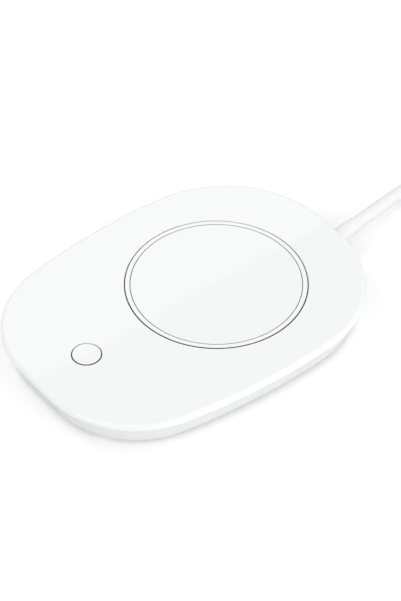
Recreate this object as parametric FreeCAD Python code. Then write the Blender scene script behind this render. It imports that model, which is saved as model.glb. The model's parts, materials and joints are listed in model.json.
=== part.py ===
"""Electric mug warmer: a low oval body with a push button at the front and a round heating plate behind it.

Millimetres. The origin is under the middle of the body, on the surface that the feet stand on. +X runs
along the long axis from the button towards the mains lead, +Z is up.
"""
import FreeCAD, Part
import math
import os

from FreeCAD import Vector

# Body outline: two long side arcs, two nearly flat ends and four corner arcs, all tangent
BODY_LENGTH = 181.0
BODY_WIDTH = 135.5
WIDEST_X = 11.5
SIDE_RADIUS = 337.0
REAR_END_RADIUS = 377.0
FRONT_END_RADIUS = 356.0
REAR_CORNER_RADIUS = 60.0
FRONT_CORNER_RADIUS = 51.0

# Heights above the resting surface
TOTAL_HEIGHT = 16.0
PANEL_THICKNESS = 2.6
ADHESIVE_THICKNESS = 0.3
SEAM_HEIGHT = 10.0
FOOT_PROUD = 1.6
FLOOR_THICKNESS = 1.5
BASE_EDGE_HEIGHT = 1.1
LEDGE_THICKNESS = 1.0
TONGUE_DEPTH = 1.4

# How far each level of the side lies inside the outline
HOUSING_TOP_INSET = 0.4
HOUSING_SEAM_INSET = 1.6
BASE_SEAM_INSET = 1.75
BASE_EDGE_INSET = 4.1
BASE_BOTTOM_INSET = 5.0
ADHESIVE_INSET = 1.4
RIM_ROUND = 2.2
EDGE_ROUND = 0.3
WALL = 2.0
TONGUE_THICKNESS = 1.0
LEDGE_WIDTH = 3.0

# Clearances
SHELL_GAP = 0.2
SLIDE_GAP = 0.05
SEAT_GAP = 0.1
HOLE_GAP = 0.3
LINE_GAP = 0.5

# Heating plate, its trim ring and what is clamped beneath
RING_X = 18.8
RING_RADIUS = 45.0
RING_WIDTH = 2.55
PLATE_THICKNESS = 1.6
RING_LEDGE = 2.0
RING_FLANGE_RADIUS = 47.5
SPIGOT_WALL = 1.5
HEATER_THICKNESS = 0.5
RETAINER_THICKNESS = 0.8
RETAINER_EAR_RADIUS = 51.5
RETAINER_EAR_WALL = 1.6
RETAINER_EAR_ROOT = 2.0
PANEL_BOSS_WALL = 1.0
SCREW_SKIN = 1.0
PLATE_EDGE_GAP = 0.05
RETAINER_SCREWS = 4
FIRST_EAR_ANGLE = 45.0
BOSS_HEIGHT = 0.8
SENSOR_RADIUS = 4.0
SENSOR_HEIGHT = 4.0
LEAD_SLOT = (12.0, 14.0)
LEAD_SLOT_RADIUS = 29.0
THERMAL_FUSE_RADIUS = 2.0
THERMAL_FUSE_LENGTH = 11.0
THERMAL_FUSE_PLACE = (14.0, 16.0)
CLIP_SHEET = 0.5
CLIP_LENGTH = 5.0
CLIP_WING = 3.0
BRIDGE_SHEET = 0.4
BRIDGE_SIZE = (8.0, 26.0)
BRIDGE_FOOT = 4.0

# Push button, its guide and the switch it works
BUTTON_X = -60.1
BUTTON_RADIUS = 7.2
BUTTON_TRAVEL = 0.5
BUTTON_FLANGE = 1.4
BUTTON_FLANGE_THICKNESS = 1.1
BUTTON_CAP_WALL = 1.2
STEM_RADIUS = 2.2
GUIDE_WALL = 2.0
GUIDE_FLOOR = 0.9
GUIDE_HOLE_RADIUS = 5.2
SWITCH_SIDE = 6.0
SWITCH_HEIGHT = 3.4
PLUNGER_RADIUS = 1.7
PLUNGER_PROUD = 1.2
SWITCH_FLOOR = 1.0

# Circuit board, its posts and its parts
BOARD_X = -55.0
BOARD_LENGTH = 50.0
BOARD_WIDTH = 52.0
BOARD_THICKNESS = 1.2
BOARD_HEIGHT = 6.0
BOARD_POST_RADIUS = 2.6
BOARD_POST_EDGE = 3.2
TERMINAL_SIZE = (8.0, 11.0, 5.2)
MAINS_TERMINAL_Y = -15.0
HEATER_TERMINAL_Y = 15.0
TERMINAL_BORE_RADIUS = 1.3
TERMINAL_EDGE = 0.5
WIRE_ENTRY = 2.5
FILM_CAPACITOR_SIZE = (13.0, 7.0, 5.4)
CHIP_SIZE = (5.3, 6.2, 1.6)
CHIP_PLACE = (2.0, -15.0)
TRIAC_TAB_SIZE = (13.0, 10.0, 1.2)
TRIAC_SIZE = (10.0, 10.0, 4.0)
TRIAC_X = 7.5
TRIAC_DOWN = 2.0
ROUND_CAPACITOR = (2.6, 11.0)
ROUND_CAPACITOR_PLACE = (-18.0, -15.0)
RECTIFIER_SIZE = (4.0, 5.0, 2.4)
RECTIFIER_X = -20.5
FUSE = (1.9, 9.0)
FUSE_PLACE = (9.0, -4.2)
LAMP_SIZE = (1.6, 3.2, 1.1)
LAMP_X = -6.6
HEADER_SIZE = (5.0, 6.0, 3.2)
HEADER_EDGE = 4.0

# Screws that close the body, with the feet over them
POST_INSET = 12.3
FRONT_POST_ANGLE = 148.0
REAR_POST_ANGLE = 46.0
POST_RADIUS = 4.0
BOSS_ROOT_WALL = 2.0
SCREW_RADIUS = 1.2
SCREW_HEAD_RADIUS = 2.2
SCREW_HEAD_HEIGHT = 1.6
FOOT_RADIUS = 6.0
FOOT_RECESS = 0.7
SMALL_SCREW_RADIUS = 0.8
SMALL_HEAD_RADIUS = 1.7
SMALL_HEAD_HEIGHT = 1.1

# Ventilation slots in the floor
SLOT_LENGTH = 16.0
SLOT_WIDTH = 2.2
SLOT_PITCH = 7.0
SLOTS_PER_ROW = 7
SLOT_ROW_Y = 20.0

# Mains lead: where it leaves, how thick it is and how its strain relief is shaped
CORD_RADIUS = 3.5
EXIT_Y = -5.9
EXIT_HEIGHT = 7.6
EXIT_TURN = 8.0
RELIEF_FLANGE_THICKNESS = 1.5
RELIEF_FLANGE_SIDE_WALL = 2.1
RELIEF_NECK_WALL = 0.8
RELIEF_BOOT_WALL = 1.0
RELIEF_TIP_WALL = 0.4
RELIEF_BOOT_LENGTH = 15.0
RELIEF_SEAT_GAP = 1.5
RELIEF_RIM_GAP = 0.9
JACKET_INNER_LENGTH = 20.0
CLAMP_LENGTH = 6.0
CLAMP_HALF_SPAN = 12.5
CLAMP_SCREW_SPAN = 9.2
CLAMP_TOP = 1.3
CLAMP_JACKET_END = 2.0
CLAMP_POST_RISE = 0.8
CLAMP_HEAD_SEAT = 1.5
CRADLE_WIDTH = 14.72
CRADLE_DROP = 1.0
CUT_REACH = 8.0
CONDUCTOR_RADIUS = 1.1
CONDUCTOR_SPACING = 3.0
THIN_WIRE_RADIUS = 0.7
SENSOR_WIRE_RADIUS = 0.5
HEATER_LEAD_Y = 4.6
HEATER_LEAD_SPACING = 2.6
HEATER_LEAD_DROP = 2.0
TERMINAL_LEAD_OUT = 3.0
CONDUCTOR_STRAIGHT = 12.0
CONDUCTOR_REAR = (16.0, -28.0, 5.2)
CONDUCTOR_FRONT = (-20.0, -29.0, 5.4)
CONDUCTOR_RISE = (8.0, -4.0, -1.2)
SENSOR_LEAD_SIDE = 1.5
SENSOR_LEAD_UP = 0.7
SENSOR_LEAD_DROP = (-5.0, -1.6)
SENSOR_PIN = (1.3, 9.0)
SENSOR_PIN_REACH = (12.0, 0.2)

# Coil of the lead that is put away, its tie and its plug
COIL_GAP = 0.6
COIL_TURNS = 4
COIL_MEAN_RADIUS = 41.0
COIL_LEAD_IN = 7.0
COIL_TAIL = 44.0
TIE_THICKNESS = 0.5
TIE_WIDTH = 8.0
TIE_GAP = 0.45
TIE_ROUND = 3.4
PLUG_WIDTH = 26.0
PLUG_LENGTH = 30.0
PLUG_BOOT_LENGTH = 20.0
PLUG_ROUND = 4.0
BLADE_LENGTH = 17.0
BLADE_WIDTH = 6.3
BLADE_THICKNESS = 1.5
BLADE_SPACING = 12.7
BLADE_SUNK = 6.0

# Levels that follow from the sizes above
PANEL_BOTTOM = TOTAL_HEIGHT - PANEL_THICKNESS
HOUSING_TOP = PANEL_BOTTOM - ADHESIVE_THICKNESS
LEDGE_BOTTOM = HOUSING_TOP - LEDGE_THICKNESS
TONGUE_BOTTOM = SEAM_HEIGHT - TONGUE_DEPTH
BASE_BOTTOM = FOOT_PROUD
BASE_FLOOR = BASE_BOTTOM + FLOOR_THICKNESS
BASE_SLOPE = (BASE_EDGE_INSET - BASE_SEAM_INSET) / (SEAM_HEIGHT - BASE_BOTTOM - BASE_EDGE_HEIGHT)
TONGUE_OUTER_INSET = BASE_SEAM_INSET + BASE_SLOPE * TONGUE_DEPTH + WALL + SHELL_GAP
HOUSING_INNER_INSET = TONGUE_OUTER_INSET + TONGUE_THICKNESS
LEDGE_INSET = HOUSING_INNER_INSET + LEDGE_WIDTH
BOARD_TOP = BOARD_HEIGHT + BOARD_THICKNESS
PLATE_BOTTOM = TOTAL_HEIGHT - PLATE_THICKNESS
HEATER_BOTTOM = PLATE_BOTTOM - HEATER_THICKNESS
BOSS_BOTTOM = PANEL_BOTTOM - BOSS_HEIGHT
RETAINER_BOTTOM = BOSS_BOTTOM - RETAINER_THICKNESS
PLATE_RADIUS = RING_RADIUS - RING_WIDTH - LINE_GAP / 2
SPIGOT_RADIUS = PLATE_RADIUS - RING_LEDGE - HOLE_GAP
HEATER_RADIUS = SPIGOT_RADIUS - SPIGOT_WALL - HOLE_GAP
FLANGE_RADIUS = BUTTON_RADIUS + BUTTON_FLANGE
FLANGE_TOP = PANEL_BOTTOM - SEAT_GAP
FLANGE_BOTTOM = FLANGE_TOP - BUTTON_FLANGE_THICKNESS
SWITCH_TOP = BOARD_TOP + SWITCH_HEIGHT
PLUNGER_TOP = SWITCH_TOP + PLUNGER_PROUD
COIL_PITCH = 2 * CORD_RADIUS + COIL_GAP
COIL_RADIUS = COIL_MEAN_RADIUS + COIL_PITCH * COIL_TURNS / 4
COIL_HEIGHT = CORD_RADIUS + TIE_THICKNESS + SLIDE_GAP
EXIT_X = BODY_LENGTH / 2 - HOUSING_INNER_INSET + WALL
RELIEF_BACK = EXIT_X - WALL - RELIEF_SEAT_GAP
RELIEF_FRONT = BODY_LENGTH / 2 + RELIEF_RIM_GAP

RELIEF_FLANGE_HALF_WIDTH = CORD_RADIUS + RELIEF_FLANGE_SIDE_WALL
RELIEF_NECK_RADIUS = CORD_RADIUS + RELIEF_NECK_WALL
RELIEF_BOOT_RADIUS = CORD_RADIUS + RELIEF_BOOT_WALL
RELIEF_TIP_RADIUS = CORD_RADIUS + RELIEF_TIP_WALL

# Share of a straight run that each of its bends may take, and the step that a direction is read over
BEND_SHARE = 0.45
WAY_STEP = 0.002

# Points of the lead from the wall to the coil, the first and last runs straight
FIRST_RUN = 40.0
LAST_RUN = 30.0
BEND_POINT = Vector(174.3, 5.5, COIL_HEIGHT)
EXIT_WAY = Vector(math.cos(math.radians(EXIT_TURN)), math.sin(math.radians(EXIT_TURN)), 0)
EXIT_SIDE = Vector(-EXIT_WAY.y, EXIT_WAY.x, 0)
EXIT_POINT = Vector(EXIT_X, EXIT_Y, EXIT_HEIGHT)
CORD_POINTS = [
    EXIT_POINT,
    EXIT_POINT + EXIT_WAY * FIRST_RUN,
    BEND_POINT,
    BEND_POINT + EXIT_WAY * LAST_RUN,
]


def cylinder(x, y, low, high, radius):
    """Upright round bar between two heights."""
    return Part.makeCylinder(radius, high - low, Vector(x, y, low))


def tube(x, y, low, high, outer, inner):
    """Upright tube between two heights."""
    return cylinder(x, y, low, high, outer).cut(cylinder(x, y, low, high, inner))


def block(x, y, low, size):
    """Box centred on x, y that stands on a height."""
    length, width, height = size
    return Part.makeBox(length, width, height, Vector(x - length / 2, y - width / 2, low))


def turned(profile, x=0.0, y=0.0):
    """Body turned about an upright axis from its half section of (radius, height) points."""
    points = [Vector(x + radius, y, height) for radius, height in profile]
    wire = Part.makePolygon(points + [points[0]])
    return Part.Face(wire).revolve(Vector(x, y, 0), Vector(0, 0, 1), 360)


def circle_places(count, radius, start_angle):
    """Places on a circle about the heating plate's axis."""
    angles = [math.radians(start_angle + 360.0 * i / count) for i in range(count)]
    return [(RING_X + radius * math.cos(a), radius * math.sin(a)) for a in angles]


def corner_centre(end_centre, end_radius, side_centre, side_radius, corner_radius):
    """Centre of the arc that is tangent to an end arc and a side arc, both of which it lies inside."""
    to_end = end_radius - corner_radius
    to_side = side_radius - corner_radius
    between = side_centre - end_centre
    span = between.Length
    along = (to_end ** 2 - to_side ** 2 + span ** 2) / (2 * span)
    across = math.sqrt(to_end ** 2 - along ** 2)
    unit = between / span
    foot = end_centre + unit * along
    normal = Vector(-unit.y, unit.x, 0) * across
    return foot + normal if (foot + normal).y > (foot - normal).y else foot - normal


def outline_arcs(inset):
    """The upper half of the outline from rear to front, as (centre, radius, first point, last point)."""
    half = BODY_LENGTH / 2
    side = Vector(WIDEST_X, BODY_WIDTH / 2 - SIDE_RADIUS, 0)
    rear = Vector(half - REAR_END_RADIUS, 0, 0)
    front = Vector(FRONT_END_RADIUS - half, 0, 0)
    rear_corner = corner_centre(rear, REAR_END_RADIUS, side, SIDE_RADIUS, REAR_CORNER_RADIUS)
    front_corner = corner_centre(front, FRONT_END_RADIUS, side, SIDE_RADIUS, FRONT_CORNER_RADIUS)

    def meeting(centre, radius, corner):
        return centre + (corner - centre).normalize() * (radius - inset)

    rear_top = meeting(rear, REAR_END_RADIUS, rear_corner)
    side_rear = meeting(side, SIDE_RADIUS, rear_corner)
    side_front = meeting(side, SIDE_RADIUS, front_corner)
    front_top = meeting(front, FRONT_END_RADIUS, front_corner)
    return [
        (rear_corner, REAR_CORNER_RADIUS - inset, rear_top, side_rear),
        (side, SIDE_RADIUS - inset, side_rear, side_front),
        (front_corner, FRONT_CORNER_RADIUS - inset, side_front, front_top),
        (front, FRONT_END_RADIUS - inset, front_top, None),
        (rear, REAR_END_RADIUS - inset, None, rear_top),
    ]


def corner_places():
    """Places of the four housing screws, the same distance inside the outline's corner arcs."""
    rear_corner, _, front_corner = outline_arcs(POST_INSET)[:3]
    places = []
    for corner, degrees in ((front_corner, FRONT_POST_ANGLE), (rear_corner, REAR_POST_ANGLE)):
        angle = math.radians(degrees)
        x = corner[0].x + corner[1] * math.cos(angle)
        y = corner[0].y + corner[1] * math.sin(angle)
        places += [(x, y), (x, -y)]
    return places


def arc_between(centre, radius, first, last):
    """Arc about a centre from one point to another, the short way."""
    middle = ((first - centre) + (last - centre)).normalize() * radius
    return Part.Arc(first, centre + middle, last).toShape()


def mirrored(point):
    """The same point on the other side of the long axis."""
    return Vector(point.x, -point.y, 0)


def outline(inset, height):
    """Closed outline of the body, moved inwards by the inset, at a height."""
    rear_corner, side, front_corner, front, rear = outline_arcs(inset)
    upper = [arc_between(*a) for a in (rear_corner, side, front_corner)]
    front_arc = arc_between(front[0], front[1], front[2], mirrored(front[2]))
    lower = [
        arc_between(mirrored(a[0]), a[1], mirrored(a[3]), mirrored(a[2]))
        for a in (front_corner, side, rear_corner)
    ]
    rear_arc = arc_between(rear[0], rear[1], mirrored(rear[3]), rear[3])
    wire = Part.Wire(upper + [front_arc] + lower + [rear_arc])
    wire.translate(Vector(0, 0, height))
    return wire


def slab(inset, low, high):
    """Straight-sided plate of the body's outline between two heights."""
    return Part.Face(outline(inset, low)).extrude(Vector(0, 0, high - low))


def tapered(low_inset, low, high_inset, high):
    """Plate whose side slopes from one inset to another."""
    return Part.makeLoft([outline(low_inset, low), outline(high_inset, high)], True, True)


def at_exit(shape):
    """Turns a shape that lies along +X at the exit to the lead's own direction."""
    shape.rotate(EXIT_POINT, Vector(0, 0, 1), EXIT_TURN)
    return shape


def bar_at_exit(start, end, radius):
    """Round bar along the lead's direction, from start to end before or behind the exit point."""
    bar = Part.makeCylinder(radius, end - start, EXIT_POINT + Vector(start, 0, 0), Vector(1, 0, 0))
    return at_exit(bar)


def block_at_exit(start, size, low):
    """Box along the lead's direction that stands on a height, centred on the lead."""
    length, width, height = size
    corner = Vector(EXIT_X + start, EXIT_Y - width / 2, low)
    return at_exit(Part.makeBox(length, width, height, corner))


def spot_at_exit(along, across):
    """Plan position beside the lead."""
    spot = EXIT_POINT + EXIT_WAY * along + EXIT_SIDE * across
    return spot.x, spot.y


CLAMP_START = -JACKET_INNER_LENGTH + CLAMP_JACKET_END
CLAMP_SPOTS = [spot_at_exit(CLAMP_START + CLAMP_LENGTH / 2, side * CLAMP_SCREW_SPAN) for side in (-1, 1)]
CLAMP_POST_TOP = EXIT_HEIGHT + CLAMP_POST_RISE
CLAMP_BAR_TOP = EXIT_HEIGHT + CORD_RADIUS + CLAMP_TOP
BOARD_SPOTS = [
    (BOARD_X + sx * (BOARD_LENGTH / 2 - BOARD_POST_EDGE), sy * (BOARD_WIDTH / 2 - BOARD_POST_EDGE))
    for sx in (-1, 1)
    for sy in (-1, 1)
]
HOUSING_SCREW_PLACES = corner_places()
RETAINER_SPOTS = circle_places(RETAINER_SCREWS, RETAINER_EAR_RADIUS, FIRST_EAR_ANGLE)


def top_panel():
    """Glossy panel with a rounded rim, a hole for the plate's ring and a hole for the button."""
    panel = slab(0, PANEL_BOTTOM, TOTAL_HEIGHT)
    rim = [e for e in panel.Edges if e.BoundBox.ZMin > TOTAL_HEIGHT - SLIDE_GAP]
    panel = panel.makeFillet(RIM_ROUND, rim)
    boss_radius = SMALL_HEAD_RADIUS + PANEL_BOSS_WALL
    for place in RETAINER_SPOTS:
        panel = panel.fuse(cylinder(*place, BOSS_BOTTOM, PANEL_BOTTOM + EDGE_ROUND, boss_radius))
    for x, radius in ((RING_X, RING_RADIUS), (BUTTON_X, BUTTON_RADIUS)):
        opening = cylinder(x, 0, BOSS_BOTTOM, TOTAL_HEIGHT, radius + LINE_GAP / 2)
        panel = panel.cut(opening)
        panel = panel.cut(softened_hole(x, radius + LINE_GAP / 2))
    bore_radius = SMALL_SCREW_RADIUS + SLIDE_GAP
    for place in RETAINER_SPOTS:
        panel = panel.cut(cylinder(*place, BOSS_BOTTOM, TOTAL_HEIGHT - SCREW_SKIN, bore_radius))
    return panel


def softened_hole(x, radius):
    """Cone that takes the sharp edge off a hole in the panel's top."""
    return Part.makeCone(radius, radius + EDGE_ROUND, EDGE_ROUND, Vector(x, 0, TOTAL_HEIGHT - EDGE_ROUND))


def panel_adhesive():
    """Adhesive band between the panel and the upper housing's ledge."""
    return slab(ADHESIVE_INSET, HOUSING_TOP, PANEL_BOTTOM).cut(slab(LEDGE_INSET, HOUSING_TOP, PANEL_BOTTOM))


def upper_housing():
    """Upper shell: sloping wall, a ledge under the panel, a tongue into the base and four screw bosses."""
    shell = tapered(HOUSING_SEAM_INSET, SEAM_HEIGHT, HOUSING_TOP_INSET, HOUSING_TOP)
    shell = shell.cut(slab(HOUSING_INNER_INSET, SEAM_HEIGHT, LEDGE_BOTTOM))
    shell = shell.cut(slab(LEDGE_INSET, LEDGE_BOTTOM, HOUSING_TOP))
    tongue = slab(TONGUE_OUTER_INSET, TONGUE_BOTTOM, SEAM_HEIGHT + EDGE_ROUND)
    tongue = tongue.cut(slab(HOUSING_INNER_INSET, TONGUE_BOTTOM, SEAM_HEIGHT + EDGE_ROUND))
    shell = shell.fuse(tongue)
    for place in HOUSING_SCREW_PLACES:
        shell = shell.fuse(cylinder(*place, LEDGE_BOTTOM, HOUSING_TOP, POST_RADIUS + BOSS_ROOT_WALL))
        shell = shell.fuse(cylinder(*place, TONGUE_BOTTOM, HOUSING_TOP, POST_RADIUS))
    for place in HOUSING_SCREW_PLACES:
        shell = shell.cut(cylinder(*place, TONGUE_BOTTOM, LEDGE_BOTTOM, SCREW_RADIUS + SLIDE_GAP))
    shell = shell.cut(relief_flange(SEAT_GAP))
    return shell.cut(bar_at_exit(-CUT_REACH, CUT_REACH, RELIEF_NECK_RADIUS + SEAT_GAP))


def base_walls():
    """Sloping wall and floor of the base."""
    edge = BASE_BOTTOM + BASE_EDGE_HEIGHT
    shell = tapered(BASE_EDGE_INSET, edge, BASE_SEAM_INSET, SEAM_HEIGHT)
    shell = shell.fuse(tapered(BASE_BOTTOM_INSET, BASE_BOTTOM, BASE_EDGE_INSET, edge))
    floor_inset = BASE_SEAM_INSET + BASE_SLOPE * (SEAM_HEIGHT - BASE_FLOOR) + WALL
    return shell.cut(tapered(floor_inset, BASE_FLOOR, BASE_SEAM_INSET + WALL, SEAM_HEIGHT))


def vent_slots():
    """Two rows of round-ended slots under the heating plate."""
    slots = []
    for i in range(SLOTS_PER_ROW):
        x = RING_X + (i - (SLOTS_PER_ROW - 1) / 2) * SLOT_PITCH
        for y in (-SLOT_ROW_Y, SLOT_ROW_Y):
            bar = block(x, y, BASE_BOTTOM, (SLOT_WIDTH, SLOT_LENGTH - SLOT_WIDTH, FLOOR_THICKNESS))
            for end in (-1, 1):
                tip = y + end * (SLOT_LENGTH - SLOT_WIDTH) / 2
                bar = bar.fuse(cylinder(x, tip, BASE_BOTTOM, BASE_FLOOR, SLOT_WIDTH / 2))
            slots.append(bar)
    return Part.makeCompound(slots)


def base_cover():
    """Lower shell with screw posts, board posts, the lead's cradle, vent slots and foot recesses."""
    shell = base_walls()
    for place in HOUSING_SCREW_PLACES:
        shell = shell.fuse(cylinder(*place, BASE_BOTTOM, TONGUE_BOTTOM, POST_RADIUS))
    for place in BOARD_SPOTS:
        shell = shell.fuse(cylinder(*place, BASE_BOTTOM, BOARD_HEIGHT, BOARD_POST_RADIUS))
    for place in CLAMP_SPOTS:
        shell = shell.fuse(cylinder(*place, BASE_BOTTOM, CLAMP_POST_TOP, BOARD_POST_RADIUS))
    cradle = (CLAMP_LENGTH, CRADLE_WIDTH, EXIT_HEIGHT - BASE_BOTTOM - CRADLE_DROP)
    shell = shell.fuse(block_at_exit(CLAMP_START, cradle, BASE_BOTTOM))
    shell = shell.cut(bar_at_exit(CLAMP_START - CLAMP_LENGTH, -WALL, CORD_RADIUS + SLIDE_GAP))
    shell = shell.cut(bar_at_exit(-CUT_REACH, CUT_REACH, RELIEF_NECK_RADIUS + SEAT_GAP))
    shell = shell.cut(relief_flange(SEAT_GAP))
    for place in HOUSING_SCREW_PLACES:
        shell = shell.cut(cylinder(*place, BASE_BOTTOM, BASE_BOTTOM + FOOT_RECESS, FOOT_RADIUS + SEAT_GAP))
        head_seat = BASE_BOTTOM + FOOT_RECESS + SCREW_HEAD_HEIGHT + SEAT_GAP
        shell = shell.cut(cylinder(*place, BASE_BOTTOM, head_seat, SCREW_HEAD_RADIUS + HOLE_GAP))
        shell = shell.cut(cylinder(*place, BASE_BOTTOM, TONGUE_BOTTOM, SCREW_RADIUS + HOLE_GAP))
    for place in BOARD_SPOTS:
        shell = shell.cut(cylinder(*place, BASE_FLOOR, BOARD_HEIGHT, SMALL_SCREW_RADIUS + SLIDE_GAP))
    for place in CLAMP_SPOTS:
        shell = shell.cut(cylinder(*place, BASE_FLOOR, CLAMP_POST_TOP, SMALL_SCREW_RADIUS + SLIDE_GAP))
    return shell.cut(vent_slots())


def rubber_feet():
    """Four round pads pressed into the base over its screws."""
    top = BASE_BOTTOM + FOOT_RECESS
    feet = []
    for place in HOUSING_SCREW_PLACES:
        foot = cylinder(*place, 0, top, FOOT_RADIUS)
        low_edge = [e for e in foot.Edges if e.BoundBox.ZMax < SLIDE_GAP]
        feet.append(foot.makeFillet(EDGE_ROUND, low_edge))
    return Part.makeCompound(feet)


def screw(place, head_low, head_high, head_radius, shank_low, shank_high, shank_radius):
    """Round-headed screw, its head and shank given by their heights."""
    head = cylinder(*place, head_low, head_high, head_radius)
    return head.fuse(cylinder(*place, shank_low, shank_high, shank_radius))


def housing_screws():
    """Screws from the base's posts up into the upper housing's bosses."""
    low = BASE_BOTTOM + FOOT_RECESS + SEAT_GAP
    high = low + SCREW_HEAD_HEIGHT
    tip = LEDGE_BOTTOM - HOLE_GAP
    return Part.makeCompound(
        [screw(p, low, high, SCREW_HEAD_RADIUS, high, tip, SCREW_RADIUS) for p in HOUSING_SCREW_PLACES]
    )


def trim_ring():
    """White heat-resistant ring around the plate, with a ledge for it and a flange under the panel."""
    inner = SPIGOT_RADIUS + HOLE_GAP
    outer = RING_RADIUS - LINE_GAP / 2
    rim = PLATE_RADIUS + LINE_GAP - PLATE_EDGE_GAP
    bore = rim - PLATE_EDGE_GAP * 4
    return turned(
        [
            (inner, BOSS_BOTTOM),
            (RING_FLANGE_RADIUS, BOSS_BOTTOM),
            (RING_FLANGE_RADIUS, PANEL_BOTTOM),
            (outer, PANEL_BOTTOM),
            (outer, TOTAL_HEIGHT - EDGE_ROUND),
            (outer - EDGE_ROUND, TOTAL_HEIGHT),
            (rim, TOTAL_HEIGHT),
            (bore, TOTAL_HEIGHT - EDGE_ROUND),
            (bore, PLATE_BOTTOM),
            (inner, PLATE_BOTTOM),
        ],
        RING_X,
    )


def heating_plate():
    """Coated metal plate with a round spigot that locates it in the ring."""
    return turned(
        [
            (0, PLATE_BOTTOM),
            (SPIGOT_RADIUS - SPIGOT_WALL, PLATE_BOTTOM),
            (SPIGOT_RADIUS - SPIGOT_WALL, BOSS_BOTTOM),
            (SPIGOT_RADIUS, BOSS_BOTTOM),
            (SPIGOT_RADIUS, PLATE_BOTTOM),
            (PLATE_RADIUS, PLATE_BOTTOM),
            (PLATE_RADIUS, TOTAL_HEIGHT - EDGE_ROUND),
            (PLATE_RADIUS - EDGE_ROUND, TOTAL_HEIGHT),
            (0, TOTAL_HEIGHT),
        ],
        RING_X,
    )


def lead_slot(low, high):
    """Opening on the button's side through which the heater's leads come down."""
    return block(RING_X - LEAD_SLOT_RADIUS, 0, low, (*LEAD_SLOT, high - low))


def heater_element():
    """Flat mica heater against the plate's underside."""
    return tube(RING_X, 0, HEATER_BOTTOM, PLATE_BOTTOM, HEATER_RADIUS, SENSOR_RADIUS + HOLE_GAP)


def insulation_pad():
    """Fibre pad that presses the heater up."""
    pad = tube(RING_X, 0, BOSS_BOTTOM, HEATER_BOTTOM, HEATER_RADIUS, SENSOR_RADIUS + HOLE_GAP)
    return pad.cut(lead_slot(BOSS_BOTTOM, HEATER_BOTTOM))


def retainer_ear(angle):
    """Round-ended ear that reaches from the retainer's disc to a screw."""
    width = 2 * (SMALL_HEAD_RADIUS + RETAINER_EAR_WALL)
    length = RETAINER_EAR_RADIUS - RING_FLANGE_RADIUS + RETAINER_EAR_ROOT
    end = RING_X + RETAINER_EAR_RADIUS
    arm = block(end - length / 2, 0, RETAINER_BOTTOM, (length, width, RETAINER_THICKNESS))
    ear = arm.fuse(cylinder(end, 0, RETAINER_BOTTOM, BOSS_BOTTOM, width / 2))
    ear.rotate(Vector(RING_X, 0, 0), Vector(0, 0, 1), angle)
    return ear


def retainer_plate():
    """Steel disc with four ears that clamps the ring, the pad and the plate to the panel."""
    disc = cylinder(RING_X, 0, RETAINER_BOTTOM, BOSS_BOTTOM, RING_FLANGE_RADIUS)
    for i in range(RETAINER_SCREWS):
        disc = disc.fuse(retainer_ear(FIRST_EAR_ANGLE + 360.0 * i / RETAINER_SCREWS))
    for place in RETAINER_SPOTS:
        disc = disc.cut(cylinder(*place, RETAINER_BOTTOM, BOSS_BOTTOM, SMALL_SCREW_RADIUS + HOLE_GAP))
    disc = disc.cut(cylinder(RING_X, 0, RETAINER_BOTTOM, BOSS_BOTTOM, SENSOR_RADIUS + HOLE_GAP))
    return disc.cut(lead_slot(RETAINER_BOTTOM, BOSS_BOTTOM))


def retainer_screws():
    """Screws through the retainer's ears into the panel's bosses."""
    low = RETAINER_BOTTOM - SMALL_HEAD_HEIGHT
    tip = TOTAL_HEIGHT - SCREW_SKIN - HOLE_GAP
    heights = (low, RETAINER_BOTTOM, SMALL_HEAD_RADIUS, low, tip, SMALL_SCREW_RADIUS)
    return Part.makeCompound([screw(place, *heights) for place in RETAINER_SPOTS])


def temperature_sensor():
    """Sensor capsule that touches the middle of the plate's underside."""
    return cylinder(RING_X, 0, PLATE_BOTTOM - SENSOR_HEIGHT, PLATE_BOTTOM, SENSOR_RADIUS)


def sensor_bridge():
    """Spring strip under the retainer that holds the sensor up."""
    low = PLATE_BOTTOM - SENSOR_HEIGHT - BRIDGE_SHEET
    length, width = BRIDGE_SIZE
    strip = block(RING_X, 0, low, (length, width, BRIDGE_SHEET))
    for side in (-1, 1):
        foot_y = side * (width - BRIDGE_FOOT) / 2
        strip = strip.fuse(block(RING_X, foot_y, low, (length, BRIDGE_FOOT, RETAINER_BOTTOM - low)))
    return strip


def thermal_fuse_height():
    """Height of the thermal fuse's axis, so that it touches the retainer."""
    return RETAINER_BOTTOM - THERMAL_FUSE_RADIUS - SEAT_GAP


def thermal_fuse():
    """One-shot thermal cut-out that lies against the retainer."""
    x = RING_X + THERMAL_FUSE_PLACE[0]
    start = Vector(x, THERMAL_FUSE_PLACE[1] - THERMAL_FUSE_LENGTH / 2, thermal_fuse_height())
    return Part.makeCylinder(THERMAL_FUSE_RADIUS, THERMAL_FUSE_LENGTH, start, Vector(0, 1, 0))


def thermal_fuse_clip():
    """Metal saddle that holds the thermal fuse to the retainer."""
    x = RING_X + THERMAL_FUSE_PLACE[0]
    y = THERMAL_FUSE_PLACE[1]
    width = 2 * (THERMAL_FUSE_RADIUS + SEAT_GAP)
    low = thermal_fuse_height() - THERMAL_FUSE_RADIUS - SEAT_GAP - CLIP_SHEET
    outer = width + 2 * CLIP_SHEET
    saddle = block(x, y, low, (outer, CLIP_LENGTH, RETAINER_BOTTOM - low))
    wings = block(x, y, RETAINER_BOTTOM - CLIP_SHEET, (outer + 2 * CLIP_WING, CLIP_LENGTH, CLIP_SHEET))
    return saddle.fuse(wings).cut(block(x, y, low + CLIP_SHEET, (width, CLIP_LENGTH, RETAINER_BOTTOM - low)))


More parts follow.
